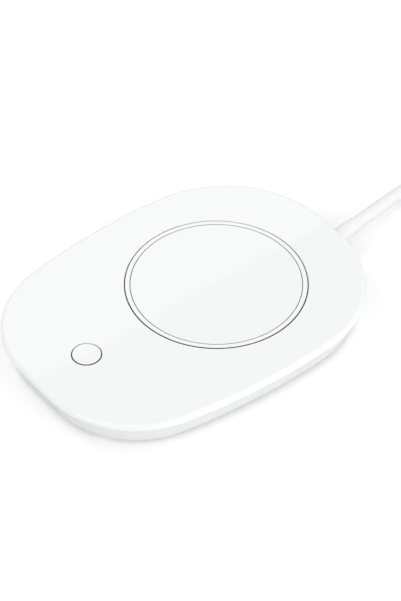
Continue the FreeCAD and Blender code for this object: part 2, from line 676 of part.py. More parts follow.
def power_button():
    """Push button: a hollow cap flush with the panel, a flange that keeps it in and a stem to the switch."""
    cap_radius = BUTTON_RADIUS - LINE_GAP / 2
    stem_bottom = PLUNGER_TOP + SLIDE_GAP
    return turned(
        [
            (0, stem_bottom),
            (STEM_RADIUS, stem_bottom),
            (STEM_RADIUS, TOTAL_HEIGHT - BUTTON_CAP_WALL),
            (cap_radius - BUTTON_CAP_WALL, TOTAL_HEIGHT - BUTTON_CAP_WALL),
            (cap_radius - BUTTON_CAP_WALL, FLANGE_BOTTOM),
            (FLANGE_RADIUS, FLANGE_BOTTOM),
            (FLANGE_RADIUS, FLANGE_TOP),
            (cap_radius, FLANGE_TOP),
            (cap_radius, TOTAL_HEIGHT - EDGE_ROUND),
            (cap_radius - EDGE_ROUND, TOTAL_HEIGHT),
            (0, TOTAL_HEIGHT),
        ],
        BUTTON_X,
    )


def button_guide():
    """Ring under the panel in which the button's flange slides, with a floor that keeps it captive."""
    floor_top = FLANGE_BOTTOM - BUTTON_TRAVEL - SEAT_GAP
    guide = cylinder(BUTTON_X, 0, floor_top - GUIDE_FLOOR, PANEL_BOTTOM, FLANGE_RADIUS + GUIDE_WALL)
    guide = guide.cut(cylinder(BUTTON_X, 0, floor_top, PANEL_BOTTOM, FLANGE_RADIUS + SEAT_GAP))
    return guide.cut(cylinder(BUTTON_X, 0, floor_top - GUIDE_FLOOR, floor_top, GUIDE_HOLE_RADIUS))


def tactile_switch():
    """Square switch body with a bore for its plunger."""
    bore = PLUNGER_RADIUS + SLIDE_GAP
    body = block(BUTTON_X, 0, BOARD_TOP, (SWITCH_SIDE, SWITCH_SIDE, SWITCH_HEIGHT))
    return body.cut(cylinder(BUTTON_X, 0, BOARD_TOP + SWITCH_FLOOR, SWITCH_TOP, bore))


def switch_plunger():
    """Round plunger that the button's stem pushes down."""
    bottom = BOARD_TOP + SWITCH_FLOOR + BUTTON_TRAVEL + SEAT_GAP
    return cylinder(BUTTON_X, 0, bottom, PLUNGER_TOP, PLUNGER_RADIUS)


def circuit_board():
    """Control board on its four posts."""
    board = block(BOARD_X, 0, BOARD_HEIGHT, (BOARD_LENGTH, BOARD_WIDTH, BOARD_THICKNESS))
    for place in BOARD_SPOTS:
        board = board.cut(cylinder(*place, BOARD_HEIGHT, BOARD_TOP, SMALL_SCREW_RADIUS + HOLE_GAP))
    return board


def board_screws():
    """Screws that hold the board to its posts."""
    high = BOARD_TOP + SMALL_HEAD_HEIGHT
    low = BASE_FLOOR + HOLE_GAP
    return Part.makeCompound(
        [screw(p, BOARD_TOP, high, SMALL_HEAD_RADIUS, low, high, SMALL_SCREW_RADIUS) for p in BOARD_SPOTS]
    )


def terminal_block(y):
    """Two-way terminal at the board's rear edge, with a bore for each wire."""
    length, width, height = TERMINAL_SIZE
    x = BOARD_X + BOARD_LENGTH / 2 - length / 2 - TERMINAL_EDGE
    body = block(x, y, BOARD_TOP, TERMINAL_SIZE)
    for side in (-1, 1):
        start = Vector(x, y + side * CONDUCTOR_SPACING, BOARD_TOP + WIRE_ENTRY)
        body = body.cut(Part.makeCylinder(TERMINAL_BORE_RADIUS, length, start, Vector(1, 0, 0)))
    return body


def terminal_entry(y, side):
    """Where a wire ends inside its terminal, and the point in line with it outside."""
    length = TERMINAL_SIZE[0]
    x = BOARD_X + BOARD_LENGTH / 2 - length / 2 - TERMINAL_EDGE + SEAT_GAP
    height = BOARD_TOP + WIRE_ENTRY
    inside = Vector(x, y + side * CONDUCTOR_SPACING, height)
    return inside, inside + Vector(length + TERMINAL_LEAD_OUT, 0, 0)


def control_chip():
    """Flat control chip."""
    return block(BOARD_X + CHIP_PLACE[0], CHIP_PLACE[1], BOARD_TOP, CHIP_SIZE)


def triac():
    """Flat power switch for the heater."""
    x = BOARD_X + TRIAC_X
    tab = block(x, HEATER_TERMINAL_Y - TRIAC_DOWN, BOARD_TOP, TRIAC_TAB_SIZE)
    case_x = x + (TRIAC_TAB_SIZE[0] - TRIAC_SIZE[0]) / 2
    return tab.fuse(block(case_x, HEATER_TERMINAL_Y - TRIAC_DOWN, BOARD_TOP, TRIAC_SIZE))


def film_capacitor():
    """Boxed dropper capacitor beside the button."""
    length, width, height = FILM_CAPACITOR_SIZE
    y = FLANGE_RADIUS + GUIDE_WALL + HOLE_GAP + width / 2
    return block(BOARD_X - length, y, BOARD_TOP, FILM_CAPACITOR_SIZE)


def smoothing_capacitor():
    """Round capacitor that lies on the board."""
    radius, length = ROUND_CAPACITOR
    start = Vector(BOARD_X + ROUND_CAPACITOR_PLACE[0], ROUND_CAPACITOR_PLACE[1], BOARD_TOP + radius)
    return Part.makeCylinder(radius, length, start, Vector(1, 0, 0))


def rectifier():
    """Small bridge rectifier."""
    return block(BOARD_X + RECTIFIER_X, 0, BOARD_TOP, RECTIFIER_SIZE)


def board_fuse():
    """Fuse in the live conductor's track."""
    radius, length = FUSE
    start = Vector(BOARD_X + FUSE_PLACE[0], FUSE_PLACE[1], BOARD_TOP + radius)
    return Part.makeCylinder(radius, length, start, Vector(0, 1, 0))


def indicator_led():
    """Lamp under the button's edge."""
    return block(BUTTON_X + LAMP_X, 0, BOARD_TOP, LAMP_SIZE)


def sensor_header():
    """Two-pin header for the sensor's leads."""
    return block(BOARD_X + BOARD_LENGTH / 2 - HEADER_EDGE, 0, BOARD_TOP, HEADER_SIZE)


def rounded_route(points):
    """Straight runs joined by tangent arcs as large as the runs allow, with each arc's radius."""
    edges = []
    radii = []
    start = points[0]
    for before, corner, after in zip(points, points[1:], points[2:]):
        arriving = (corner - before).normalize()
        leaving = (after - corner).normalize()
        half_turn = arriving.getAngle(leaving) / 2
        cut = BEND_SHARE * min((corner - before).Length, (after - corner).Length)
        radius = cut / math.tan(half_turn)
        first = corner - arriving * cut
        last = corner + leaving * cut
        bulge = (leaving - arriving).normalize() * (radius / math.cos(half_turn) - radius)
        edges.append(Part.LineSegment(start, first).toShape())
        edges.append(Part.Arc(first, corner + bulge, last).toShape())
        radii.append(radius)
        start = last
    edges.append(Part.LineSegment(start, points[-1]).toShape())
    return Part.Wire(edges), radii


def swept(wire, start, way, radius):
    """Round solid along a wire."""
    section = Part.Wire(Part.Circle(start, way, radius).toShape())
    pipe = Part.BRepOffsetAPI.MakePipeShell(wire)
    pipe.add(section)
    pipe.build()
    pipe.makeSolid()
    return pipe.shape()


def wire_along(points, radius):
    """Wire or lead through chosen points."""
    return swept(rounded_route(points)[0], points[0], points[1] - points[0], radius)


def cord_entry():
    """The lead's jacket inside the body, from the wall to just past the clamp."""
    return bar_at_exit(-JACKET_INNER_LENGTH, 0, CORD_RADIUS)


def cord_clamp():
    """Saddle bar that presses the lead into its cradle."""
    size = (CLAMP_LENGTH, 2 * CLAMP_HALF_SPAN, CLAMP_BAR_TOP - CLAMP_POST_TOP)
    bar = block_at_exit(CLAMP_START, size, CLAMP_POST_TOP)
    bar = bar.cut(bar_at_exit(CLAMP_START - WALL, CLAMP_START + CLAMP_LENGTH + WALL, CORD_RADIUS + SLIDE_GAP))
    for place in CLAMP_SPOTS:
        bar = bar.cut(cylinder(*place, CLAMP_POST_TOP, CLAMP_BAR_TOP, SMALL_SCREW_RADIUS + HOLE_GAP))
        seat = CLAMP_POST_TOP + CLAMP_HEAD_SEAT
        bar = bar.cut(cylinder(*place, seat, CLAMP_BAR_TOP, SMALL_HEAD_RADIUS + HOLE_GAP))
    return bar


def clamp_screws():
    """Screws that pull the saddle bar down."""
    seat = CLAMP_POST_TOP + CLAMP_HEAD_SEAT
    high = seat + SMALL_HEAD_HEIGHT
    low = BASE_FLOOR + HOLE_GAP
    return Part.makeCompound(
        [screw(p, seat, high, SMALL_HEAD_RADIUS, low, high, SMALL_SCREW_RADIUS) for p in CLAMP_SPOTS]
    )


def relief_flange(gap):
    """Flange of the strain relief inside the wall, or with a gap the room that it needs."""
    start = RELIEF_BACK - EXIT_X - RELIEF_FLANGE_THICKNESS - gap
    width = 2 * (RELIEF_FLANGE_HALF_WIDTH + gap)
    height = 2 * (RELIEF_NECK_RADIUS + gap)
    return block_at_exit(start, (RELIEF_FLANGE_THICKNESS + 2 * gap, width, height), EXIT_HEIGHT - height / 2)


def cord_strain_relief():
    """Grommet with a flange inside the wall and a tapered boot outside."""
    back = RELIEF_BACK - EXIT_X
    boot = RELIEF_FRONT - EXIT_X
    cone = Part.makeCone(
        RELIEF_BOOT_RADIUS,
        RELIEF_TIP_RADIUS,
        RELIEF_BOOT_LENGTH,
        EXIT_POINT + Vector(boot, 0, 0),
        Vector(1, 0, 0),
    )
    tip = [e for e in cone.Edges if e.BoundBox.XMin > EXIT_X + boot + RELIEF_BOOT_LENGTH - SLIDE_GAP]
    cone = cone.makeFillet(EDGE_ROUND, tip)
    neck = bar_at_exit(back - SEAT_GAP, boot + SEAT_GAP, RELIEF_NECK_RADIUS)
    relief = relief_flange(0).fuse([neck, at_exit(cone)])
    bore = bar_at_exit(back - CUT_REACH, boot + RELIEF_BOOT_LENGTH + WALL, CORD_RADIUS + SLIDE_GAP)
    return relief.cut(bore).removeSplitter()


def mains_cord():
    """Free stretch of the lead from the wall to the coil."""
    path, radii = rounded_route(CORD_POINTS)
    solid = swept(path, EXIT_POINT, EXIT_WAY, CORD_RADIUS)
    expected = math.pi * CORD_RADIUS ** 2 * path.Length
    print("lead radii", [round(r) for r in radii], "volume ratio", round(solid.Volume / expected, 4))
    print("free stretch", round(path.Length, 1))
    return solid


def coil_start():
    """First point of the turns and the coil's axis in plan."""
    first = CORD_POINTS[-1] + EXIT_WAY * COIL_LEAD_IN
    centre = first - EXIT_SIDE * COIL_RADIUS
    return first, centre


def coil_point(turn):
    """Centre of the lead after a number of turns: in and out at a steady rate, up a layer at the middle."""
    centre = coil_start()[1]
    middle = COIL_TURNS / 2
    radius = COIL_RADIUS - COIL_PITCH * (middle - abs(turn - middle))
    angle = math.radians(90.0 + EXIT_TURN - 360.0 * turn)
    climb = min(1.0, max(0.0, 2 * (turn - middle) + 0.5))
    height = COIL_HEIGHT + COIL_PITCH * (1 - math.cos(math.pi * climb)) / 2
    return Vector(centre.x + radius * math.cos(angle), centre.y + radius * math.sin(angle), height)


def coil_way(turn):
    """Direction of the lead after a number of turns."""
    if turn in (0, COIL_TURNS):
        return EXIT_WAY
    return (coil_point(turn + WAY_STEP) - coil_point(turn - WAY_STEP)).normalize()


def half_arc(start, way, end):
    """Arc that leaves start in a direction and ends at a point."""
    chord = end - start
    across = (chord - way * chord.dot(way)).normalize()
    radius = chord.Length ** 2 / (2 * chord.dot(across))
    centre = start + across * radius
    middle = ((start - centre) + (end - centre)).normalize() * radius
    return Part.Arc(start, centre + middle, end).toShape()


def biarc(start, start_way, end, end_way):
    """Two tangent arcs between two points with given directions."""
    chord = end - start
    ways = start_way + end_way
    a = 2 * (1 - start_way.dot(end_way))
    b = 2 * chord.dot(ways)
    reach = (-b + math.sqrt(b * b + 4 * a * chord.dot(chord))) / (2 * a)
    joint = ((start + start_way * reach) + (end - end_way * reach)) * 0.5
    back = half_arc(end, end_way * -1, joint)
    return [half_arc(start, start_way, joint), back]


def coil_path():
    """The coil's centre line: straight in, the turns in quarter-turn biarcs, straight out to the plug."""
    first = coil_start()[0]
    last = coil_point(COIL_TURNS)
    edges = [Part.LineSegment(CORD_POINTS[-1], first).toShape()]
    quarters = COIL_TURNS * 4
    for i in range(quarters):
        here, there = i / 4, (i + 1) / 4
        edges += biarc(coil_point(here), coil_way(here), coil_point(there), coil_way(there))
    edges.append(Part.LineSegment(last, last + EXIT_WAY * COIL_TAIL).toShape())
    return Part.Wire(Part.__sortEdges__(edges))


def least_coil_gap():
    """Least distance between the lead's surfaces in two different turns, measured on points."""
    count = 60
    points = [coil_point(i / count) for i in range(COIL_TURNS * count + 1)]
    apart = count // 2
    nearest = min(
        points[i].distanceToPoint(points[j])
        for i in range(len(points))
        for j in range(i + apart, len(points))
    )
    return nearest - 2 * CORD_RADIUS


def cord_coil():
    """The put-away length in one unbroken tube of real turns, with its straight tail."""
    path = coil_path()
    solid = swept(path, CORD_POINTS[-1], EXIT_WAY, CORD_RADIUS)
    expected = math.pi * CORD_RADIUS ** 2 * path.Length
    print("coil length", round(path.Length, 1), "volume ratio", round(solid.Volume / expected, 4))
    print("least gap in the coil", round(least_coil_gap(), 2))
    return solid


def rounded_bar(length, width, height, corner):
    """Box along +X, centred on the other two axes, with rounded long edges."""
    box = Part.makeBox(length, width, height, Vector(0, -width / 2, -height / 2))
    long_edges = [e for e in box.Edges if e.BoundBox.XLength > length - SLIDE_GAP]
    return box.makeFillet(corner, long_edges)


def coil_tie():
    """Flat strap around the bundle on the side away from the lead."""
    width = COIL_PITCH + 2 * CORD_RADIUS + 2 * TIE_GAP
    height = COIL_PITCH + 2 * CORD_RADIUS + 2 * SLIDE_GAP
    both = 2 * TIE_THICKNESS
    outer = rounded_bar(TIE_WIDTH, width + both, height + both, TIE_ROUND + TIE_THICKNESS)
    inner = rounded_bar(TIE_WIDTH, width, height, TIE_ROUND)
    strap = outer.cut(inner)
    strap.translate(Vector(-TIE_WIDTH / 2, 0, COIL_HEIGHT + COIL_PITCH / 2))
    centre = coil_start()[1]
    angle = EXIT_TURN - 90.0
    away = Vector(math.cos(math.radians(angle)), math.sin(math.radians(angle)), 0)
    strap.rotate(Vector(0, 0, 0), Vector(0, 0, 1), EXIT_TURN)
    strap.translate(Vector(centre.x, centre.y, 0) + away * COIL_MEAN_RADIUS)
    return strap


def at_plug(shape):
    """Moves a shape that lies along +X from the origin to the end of the coil's tail."""
    shape.rotate(Vector(0, 0, 0), Vector(0, 0, 1), EXIT_TURN)
    shape.translate(coil_point(COIL_TURNS) + EXIT_WAY * COIL_TAIL)
    return shape


def plug_body():
    """Moulded plug with a tapered boot, lying on its flat side."""
    height = 2 * coil_point(COIL_TURNS).z
    body = rounded_bar(PLUG_LENGTH, PLUG_WIDTH, height, PLUG_ROUND)
    body.translate(Vector(PLUG_BOOT_LENGTH, 0, 0))
    boot_length = PLUG_BOOT_LENGTH + PLUG_ROUND
    boot = Part.makeCone(RELIEF_TIP_RADIUS, CORD_RADIUS * 2, boot_length, Vector(0, 0, 0), Vector(1, 0, 0))
    body = body.fuse(boot)
    reach = PLUG_BOOT_LENGTH + PLUG_LENGTH - BLADE_SUNK
    for side in (-1, 1):
        body = body.cut(blade(reach, side * BLADE_SPACING / 2, BLADE_SUNK))
    return at_plug(body)


def blade(start, y, length):
    """Flat pin that stands upright in the plug's face."""
    corner = Vector(start, y - BLADE_THICKNESS / 2, -BLADE_WIDTH / 2)
    return Part.makeBox(length, BLADE_THICKNESS, BLADE_WIDTH, corner)


def plug_blades():
    """The plug's two flat pins."""
    start = PLUG_BOOT_LENGTH + PLUG_LENGTH - BLADE_SUNK
    blades = [blade(start, side * BLADE_SPACING / 2, BLADE_LENGTH + BLADE_SUNK) for side in (-1, 1)]
    return at_plug(Part.makeCompound(blades))


def mains_conductors():
    """The lead's two cores, from the end of its jacket under the plate to the mains terminal."""
    jacket_end = EXIT_POINT - EXIT_WAY * JACKET_INNER_LENGTH
    wires = []
    rise = Vector(*CONDUCTOR_RISE)
    for side in (-1, 1):
        shift = Vector(0, side * CONDUCTOR_SPACING / 2, 0)
        inside, outside = terminal_entry(MAINS_TERMINAL_Y, side)
        points = [
            jacket_end + EXIT_SIDE * shift.y,
            jacket_end + EXIT_SIDE * shift.y - EXIT_WAY * CONDUCTOR_STRAIGHT,
            Vector(RING_X, 0, 0) + Vector(*CONDUCTOR_REAR) + shift,
            Vector(RING_X, 0, 0) + Vector(*CONDUCTOR_FRONT) + shift,
            outside + rise + shift,
            outside,
            inside,
        ]
        wires.append(wire_along(points, CONDUCTOR_RADIUS))
    return Part.makeCompound(wires)


def heater_leads():
    """Two insulated leads from the heater's edge down through the slot to the heater terminal."""
    wires = []
    for side in (-1, 1):
        inside, outside = terminal_entry(HEATER_TERMINAL_Y, side)
        top = Vector(RING_X - LEAD_SLOT_RADIUS, HEATER_LEAD_Y + side * HEATER_LEAD_SPACING / 2, HEATER_BOTTOM)
        low = Vector(top.x, top.y, RETAINER_BOTTOM - HEATER_LEAD_DROP)
        points = [top, low, outside, inside]
        wires.append(wire_along(points, THIN_WIRE_RADIUS))
    return Part.makeCompound(wires)


def sensor_leads():
    """Two thin leads from the sensor to its header."""
    wires = []
    header_x = BOARD_X + BOARD_LENGTH / 2 - HEADER_EDGE + HEADER_SIZE[0] / 2
    for side in (-1, 1):
        height = PLATE_BOTTOM - SENSOR_HEIGHT + SENSOR_LEAD_UP
        start = Vector(RING_X - SENSOR_RADIUS, side * SENSOR_LEAD_SIDE, height)
        pin = Vector(header_x, side * SENSOR_PIN[0], SENSOR_PIN[1])
        points = [
            start,
            start + Vector(SENSOR_LEAD_DROP[0], 0, SENSOR_LEAD_DROP[1]),
            pin + Vector(SENSOR_PIN_REACH[0], 0, SENSOR_PIN_REACH[1]),
            pin,
        ]
        wires.append(wire_along(points, SENSOR_WIRE_RADIUS))
    return Part.makeCompound(wires)


NODES = {
    "top_panel": top_panel,
    "panel_adhesive": panel_adhesive,
    "upper_housing": upper_housing,
    "base_cover": base_cover,
    "rubber_feet": rubber_feet,
    "housing_screws": housing_screws,
    "trim_ring": trim_ring,
    "heating_plate": heating_plate,
    "heater_element": heater_element,
    "insulation_pad": insulation_pad,
    "retainer_plate": retainer_plate,
    "retainer_screws": retainer_screws,
    "temperature_sensor": temperature_sensor,
    "sensor_bridge": sensor_bridge,
    "thermal_fuse": thermal_fuse,
    "thermal_fuse_clip": thermal_fuse_clip,
    "power_button": power_button,
    "button_guide": button_guide,
    "tactile_switch": tactile_switch,
    "switch_plunger": switch_plunger,
    "circuit_board": circuit_board,
    "board_screws": board_screws,
    "mains_terminal": lambda: terminal_block(MAINS_TERMINAL_Y),
    "heater_terminal": lambda: terminal_block(HEATER_TERMINAL_Y),
    "control_chip": control_chip,
    "triac": triac,
    "film_capacitor": film_capacitor,
    "smoothing_capacitor": smoothing_capacitor,
    "rectifier": rectifier,
    "board_fuse": board_fuse,
    "indicator_led": indicator_led,
    "sensor_header": sensor_header,
    "mains_conductors": mains_conductors,
    "heater_leads": heater_leads,
    "sensor_leads": sensor_leads,
    "cord_entry": cord_entry,
    "cord_clamp": cord_clamp,
    "clamp_screws": clamp_screws,
    "cord_strain_relief": cord_strain_relief,
    "mains_cord": mains_cord,
    "cord_coil": cord_coil,
    "coil_tie": coil_tie,
    "plug_body": plug_body,
    "plug_blades": plug_blades,
}

os.makedirs("parts", exist_ok=True)
for name, make in NODES.items():
    shape = make()
    shape.exportStep(f"parts/{name}.step")
    state = "valid" if shape.isValid() else "NOT VALID"
    print(name, len(shape.Solids), "solids", state, round(shape.Volume, 1))
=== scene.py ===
"""Looks of an electric mug warmer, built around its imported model.

Metres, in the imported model's own frame: the origin is under the middle of the body, on the surface that the
feet stand on, +X runs from the push button towards the mains lead and +Z is up.
"""

import json
import logging
import math
from dataclasses import dataclass, field
from enum import Enum

import bmesh
import bpy
from mathutils import Matrix, Vector

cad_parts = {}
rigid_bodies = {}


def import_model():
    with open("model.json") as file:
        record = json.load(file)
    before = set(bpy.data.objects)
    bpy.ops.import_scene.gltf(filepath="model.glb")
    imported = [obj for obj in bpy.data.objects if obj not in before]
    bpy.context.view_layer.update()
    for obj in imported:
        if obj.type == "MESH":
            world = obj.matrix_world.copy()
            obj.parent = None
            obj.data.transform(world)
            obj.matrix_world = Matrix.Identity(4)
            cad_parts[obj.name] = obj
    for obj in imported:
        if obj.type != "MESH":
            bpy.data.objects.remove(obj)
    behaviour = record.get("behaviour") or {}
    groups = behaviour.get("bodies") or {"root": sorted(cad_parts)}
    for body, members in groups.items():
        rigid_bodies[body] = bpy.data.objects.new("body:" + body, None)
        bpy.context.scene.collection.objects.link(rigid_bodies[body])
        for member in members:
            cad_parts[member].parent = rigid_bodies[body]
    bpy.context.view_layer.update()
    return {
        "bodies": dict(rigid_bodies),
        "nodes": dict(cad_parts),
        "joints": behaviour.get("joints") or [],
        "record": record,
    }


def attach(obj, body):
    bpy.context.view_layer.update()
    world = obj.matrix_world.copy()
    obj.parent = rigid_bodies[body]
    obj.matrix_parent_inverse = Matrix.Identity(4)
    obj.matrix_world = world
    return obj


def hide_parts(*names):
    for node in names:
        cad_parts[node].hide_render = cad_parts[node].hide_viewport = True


LOG = logging.getLogger("mug_warmer")
HOUSING = "housing"
MM = 0.001
MERGE = 0.000001
# Height below which the ring, plate and button are painted near black: painted shade in the gaps around them.
PAINTED_SHADE_TOP = 15.9 * MM
GRAIN_ROUGHNESS = 0.6
WHITE = (1.0, 1.0, 1.0, 1.0)
MIX_FACTOR = 0
MIX_FIRST = 6
MIX_SECOND = 7
MIX_COLOUR = 2


class Slot(Enum):
    """Names of the record's material slots; the turned pieces are passed one, which nothing reads."""

    PANEL = "gloss_white"
    BUTTON = "button_white"
    RING = "ring_white"
    PLATE = "plate_coating"
    JACKET = "cord_jacket"


class Wave(Enum):
    """Kinds of pattern that a finish may carry."""

    GRAIN = "ShaderNodeTexNoise"
    CELLS = "ShaderNodeTexVoronoi"


class Maths:
    """A shader socket on which Python's operators add Math nodes."""

    def __init__(self, nodes: "Nodes", socket: bpy.types.NodeSocket) -> None:
        """Wraps a socket.

        Args:
            nodes: The builder that owns the node tree.
            socket: The output socket to wrap.
        """
        self.nodes = nodes
        self.socket = socket

    def _with(self, operation: str, first: object, second: object) -> "Maths":
        """Adds one Math node.

        Args:
            operation: The node's operation.
            first: Its first value or socket.
            second: Its second value or socket.

        Returns:
            The node's wrapped output.
        """
        return self.nodes.add("ShaderNodeMath", {"operation": operation}, {0: first, 1: second})

    def __add__(self, other: object) -> "Maths":
        """Sum."""
        return self._with("ADD", self, other)

    def __radd__(self, other: object) -> "Maths":
        """Sum with a number on the left."""
        return self._with("ADD", other, self)

    def __sub__(self, other: object) -> "Maths":
        """Difference."""
        return self._with("SUBTRACT", self, other)

    def __rsub__(self, other: object) -> "Maths":
        """Difference with a number on the left."""
        return self._with("SUBTRACT", other, self)

    def __mul__(self, other: object) -> "Maths":
        """Product."""
        return self._with("MULTIPLY", self, other)

    def __rmul__(self, other: object) -> "Maths":
        """Product with a number on the left."""
        return self._with("MULTIPLY", other, self)


class Nodes:
    """Builder of the node tree of one material or world."""

    def __init__(self, owner: bpy.types.Material | bpy.types.World) -> None:
        """Empties the owner's node tree.

        Args:
            owner: The material or world.
        """
        owner.use_nodes = True
        self.owner = owner
        self.tree = owner.node_tree
        self.tree.nodes.clear()

    @classmethod
    def of_material(cls, name: str) -> "Nodes":
        """Makes a material with an empty node tree.

        Args:
            name: The material's name.

        Returns:
            The builder of its tree.
        """
        return cls(bpy.data.materials.new(name))

    def add(
        self, kind: str, settings: dict[str, object] | None = None,
        inputs: dict[object, object] | None = None, output: object = 0,
    ) -> Maths | None:
        """Adds a node, its settings first, then the values or links of its sockets.

        Args:
            kind: The node's type.
            settings: Properties such as a Math node's operation.
            inputs: Socket name or number to a value, a wrapped socket or nothing.
            output: Name or number of the output to return.

        Returns:
            The wrapped output, or None from a node that has no outputs.
        """
        node = self.tree.nodes.new(kind)
        for key, value in (settings or {}).items():
            setattr(node, key, value)
        for key, value in (inputs or {}).items():
            if isinstance(value, Maths):
                self.tree.links.new(value.socket, node.inputs[key])
            else:
                node.inputs[key].default_value = value
        return Maths(self, node.outputs[output]) if node.outputs else None

    def place(self) -> Maths:
        """Object coordinates."""
        return self.add("ShaderNodeTexCoord", output="Object")

    def pattern(self, wave: Wave, scale: float, detail: float = 3.0) -> Maths:
        """Pattern on object coordinates.

        Args:
            wave: Which pattern.
            scale: Repeats per metre.
            detail: Octaves of a grain.

        Returns:
            A value from 0 to 1.
        """
        inputs = {"Vector": self.place(), "Scale": scale}
        if wave is Wave.GRAIN:
            inputs.update({"Detail": detail, "Roughness": GRAIN_ROUGHNESS})
            return self.add(wave.value, {}, inputs, "Fac")
        return self.add(wave.value, {}, inputs, "Distance")

    def blend(self, factor: Maths, first: object, second: object) -> Maths:
        """Mixes two colours, each of them red, green and blue or a wrapped socket.

        Args:
            factor: Share of the second.
            first: The colour at 0.
            second: The colour at 1.

        Returns:
            The wrapped colour.
        """
        ends = {MIX_FIRST: first, MIX_SECOND: second}
        colours = {key: c if isinstance(c, Maths) else (*c, 1.0) for key, c in ends.items()}
        return self.add("ShaderNodeMix", {"data_type": "RGBA"}, {MIX_FACTOR: factor, **colours}, MIX_COLOUR)

    def bump(self, height: Maths, depth: float) -> Maths:
        """Bump of a height.

        Args:
            height: Height from 0 to 1.
            depth: What 1 stands for, in metres.

        Returns:
            The wrapped normal.
        """
        return self.add("ShaderNodeBump", {}, {"Height": height, "Distance": depth})

    def finish(self, surface: Maths) -> bpy.types.Material:
        """Links the surface to the material's output.

        Args:
            surface: The shader.

        Returns:
            The finished material.
        """
        self.add("ShaderNodeOutputMaterial", {}, {"Surface": surface})
        return self.owner


@dataclass(frozen=True)
class Moulding:
    """Moulded plastic, enamel or rubber: an even colour with faint flow marks, dust and fine scratches, and,
    where a top height is given, painted shade that darkens the surface below it to near black.
    """

    name: str
    colour: tuple[float, float, float]
    shade: tuple[float, float, float]
    roughness: float
    roughness_spread: float = 0.04
    grain_scale: float = 900.0
    grain_depth: float = 0.0
    metallic: float = 0.0
    ior: float = 1.48
    cloud_scale: float = 22.0
    cloud_detail: float = 2.0
    grain_detail: float = 4.0
    # Painted shade in narrow gaps: the colour turns near black below this height, over the fade distance that
    # follows.
    painted_shade_top: float = 0.0
    painted_shade_fade: float = 0.12 * MM
    painted_shade_colour: tuple[float, float, float] = (0.03, 0.03, 0.032)

    def material(self) -> bpy.types.Material:
        """Builds the finish.

        Returns:
            The material.
        """
        nodes = Nodes.of_material(self.name)
        cloud = nodes.pattern(Wave.GRAIN, self.cloud_scale, self.cloud_detail)
        fine = nodes.pattern(Wave.GRAIN, self.grain_scale, self.grain_detail)
        colour = nodes.blend(cloud, self.colour, self.shade)
        # Painted shade: the walls below the top height fade to near black, standing in for the shade that
        # falls in the gaps around the piece.
        if self.painted_shade_top:
            height = nodes.add("ShaderNodeSeparateXYZ", {}, {"Vector": nodes.place()}, "Z")
            heights = {"From Min": self.painted_shade_top - self.painted_shade_fade, "From Max": self.painted_shade_top}
            shares = {"To Min": 1.0, "To Max": 0.0}
            depth = nodes.add("ShaderNodeMapRange", {}, {"Value": height, **heights, **shares})
            colour = nodes.blend(depth, colour, self.painted_shade_colour)
        inputs = {
            "Base Color": colour,
            "Roughness": self.roughness + self.roughness_spread * (fine - 0.5) * 2.0,
            "Metallic": self.metallic,
            "IOR": self.ior,
        }
        if self.grain_depth:
            inputs["Normal"] = nodes.bump(fine, self.grain_depth)
        return nodes.finish(nodes.add("ShaderNodeBsdfPrincipled", {}, inputs))


@dataclass(frozen=True)
class Laminate:
    """Circuit board: green mask with pale tracks and pads."""

    name: str = "circuit_laminate"
    mask: tuple[float, float, float] = (0.02, 0.13, 0.06)
    track: tuple[float, float, float] = (0.05, 0.24, 0.11)
    cell_scale: float = 260.0
    track_share: float = 0.42
    roughness: float = 0.3
    track_roughness: float = 0.15
    track_depth: float = 0.03 * MM

    def material(self) -> bpy.types.Material:
        """Builds the finish.

        Returns:
            The material.
        """
        nodes = Nodes.of_material(self.name)
        cells = nodes.pattern(Wave.CELLS, self.cell_scale)
        tracks = nodes.add("ShaderNodeMath", {"operation": "GREATER_THAN"}, {0: cells, 1: self.track_share})
        inputs = {
            "Base Color": nodes.blend(tracks, self.mask, self.track),
            "Roughness": self.roughness + self.track_roughness * tracks,
            "Normal": nodes.bump(tracks, self.track_depth),
        }
        return nodes.finish(nodes.add("ShaderNodeBsdfPrincipled", {}, inputs))


WHITE_PANEL = Moulding(
    name="gloss_white_moulding", colour=(0.89, 0.892, 0.895), shade=(0.88, 0.883, 0.887),
    roughness=0.02, roughness_spread=0.008,
)
WHITE_SHELL = Moulding(
    name="satin_white_moulding", colour=(0.86, 0.865, 0.87), shade=(0.85, 0.855, 0.862),
    roughness=0.22, roughness_spread=0.03, grain_scale=1600.0, grain_depth=0.002 * MM,
)
WHITE_RING = Moulding(
    name="white_trim", colour=(0.9, 0.9, 0.9), shade=(0.89, 0.89, 0.892),
    roughness=0.18, roughness_spread=0.02, painted_shade_top=PAINTED_SHADE_TOP,
)
WHITE_PLATE = Moulding(
    name="white_plate_glaze", colour=(0.885, 0.888, 0.892), shade=(0.875, 0.88, 0.885),
    roughness=0.03, roughness_spread=0.01, grain_scale=1200.0, grain_depth=0.0005 * MM, painted_shade_top=PAINTED_SHADE_TOP,
)
WHITE_BUTTON = Moulding(
    name="white_button", colour=(0.89, 0.892, 0.895), shade=(0.88, 0.883, 0.887),
    roughness=0.03, roughness_spread=0.01, painted_shade_top=PAINTED_SHADE_TOP,
)
PALE = Moulding(
    name="pale_moulding", colour=(0.8, 0.8, 0.78), shade=(0.72, 0.72, 0.7),
    roughness=0.4, roughness_spread=0.08, grain_scale=1500.0, grain_depth=0.006 * MM,
)
PLUNGER = Moulding(
    name="plunger_moulding", colour=(0.3, 0.05, 0.04), shade=(0.24, 0.04, 0.03),
    roughness=0.4, roughness_spread=0.08, grain_scale=1500.0, grain_depth=0.004 * MM,
)
WHITE_JACKET = Moulding(
    name="white_jacket", colour=(0.84, 0.84, 0.845), shade=(0.82, 0.82, 0.828),
    roughness=0.34, roughness_spread=0.05, grain_scale=2200.0, grain_depth=0.004 * MM,
)
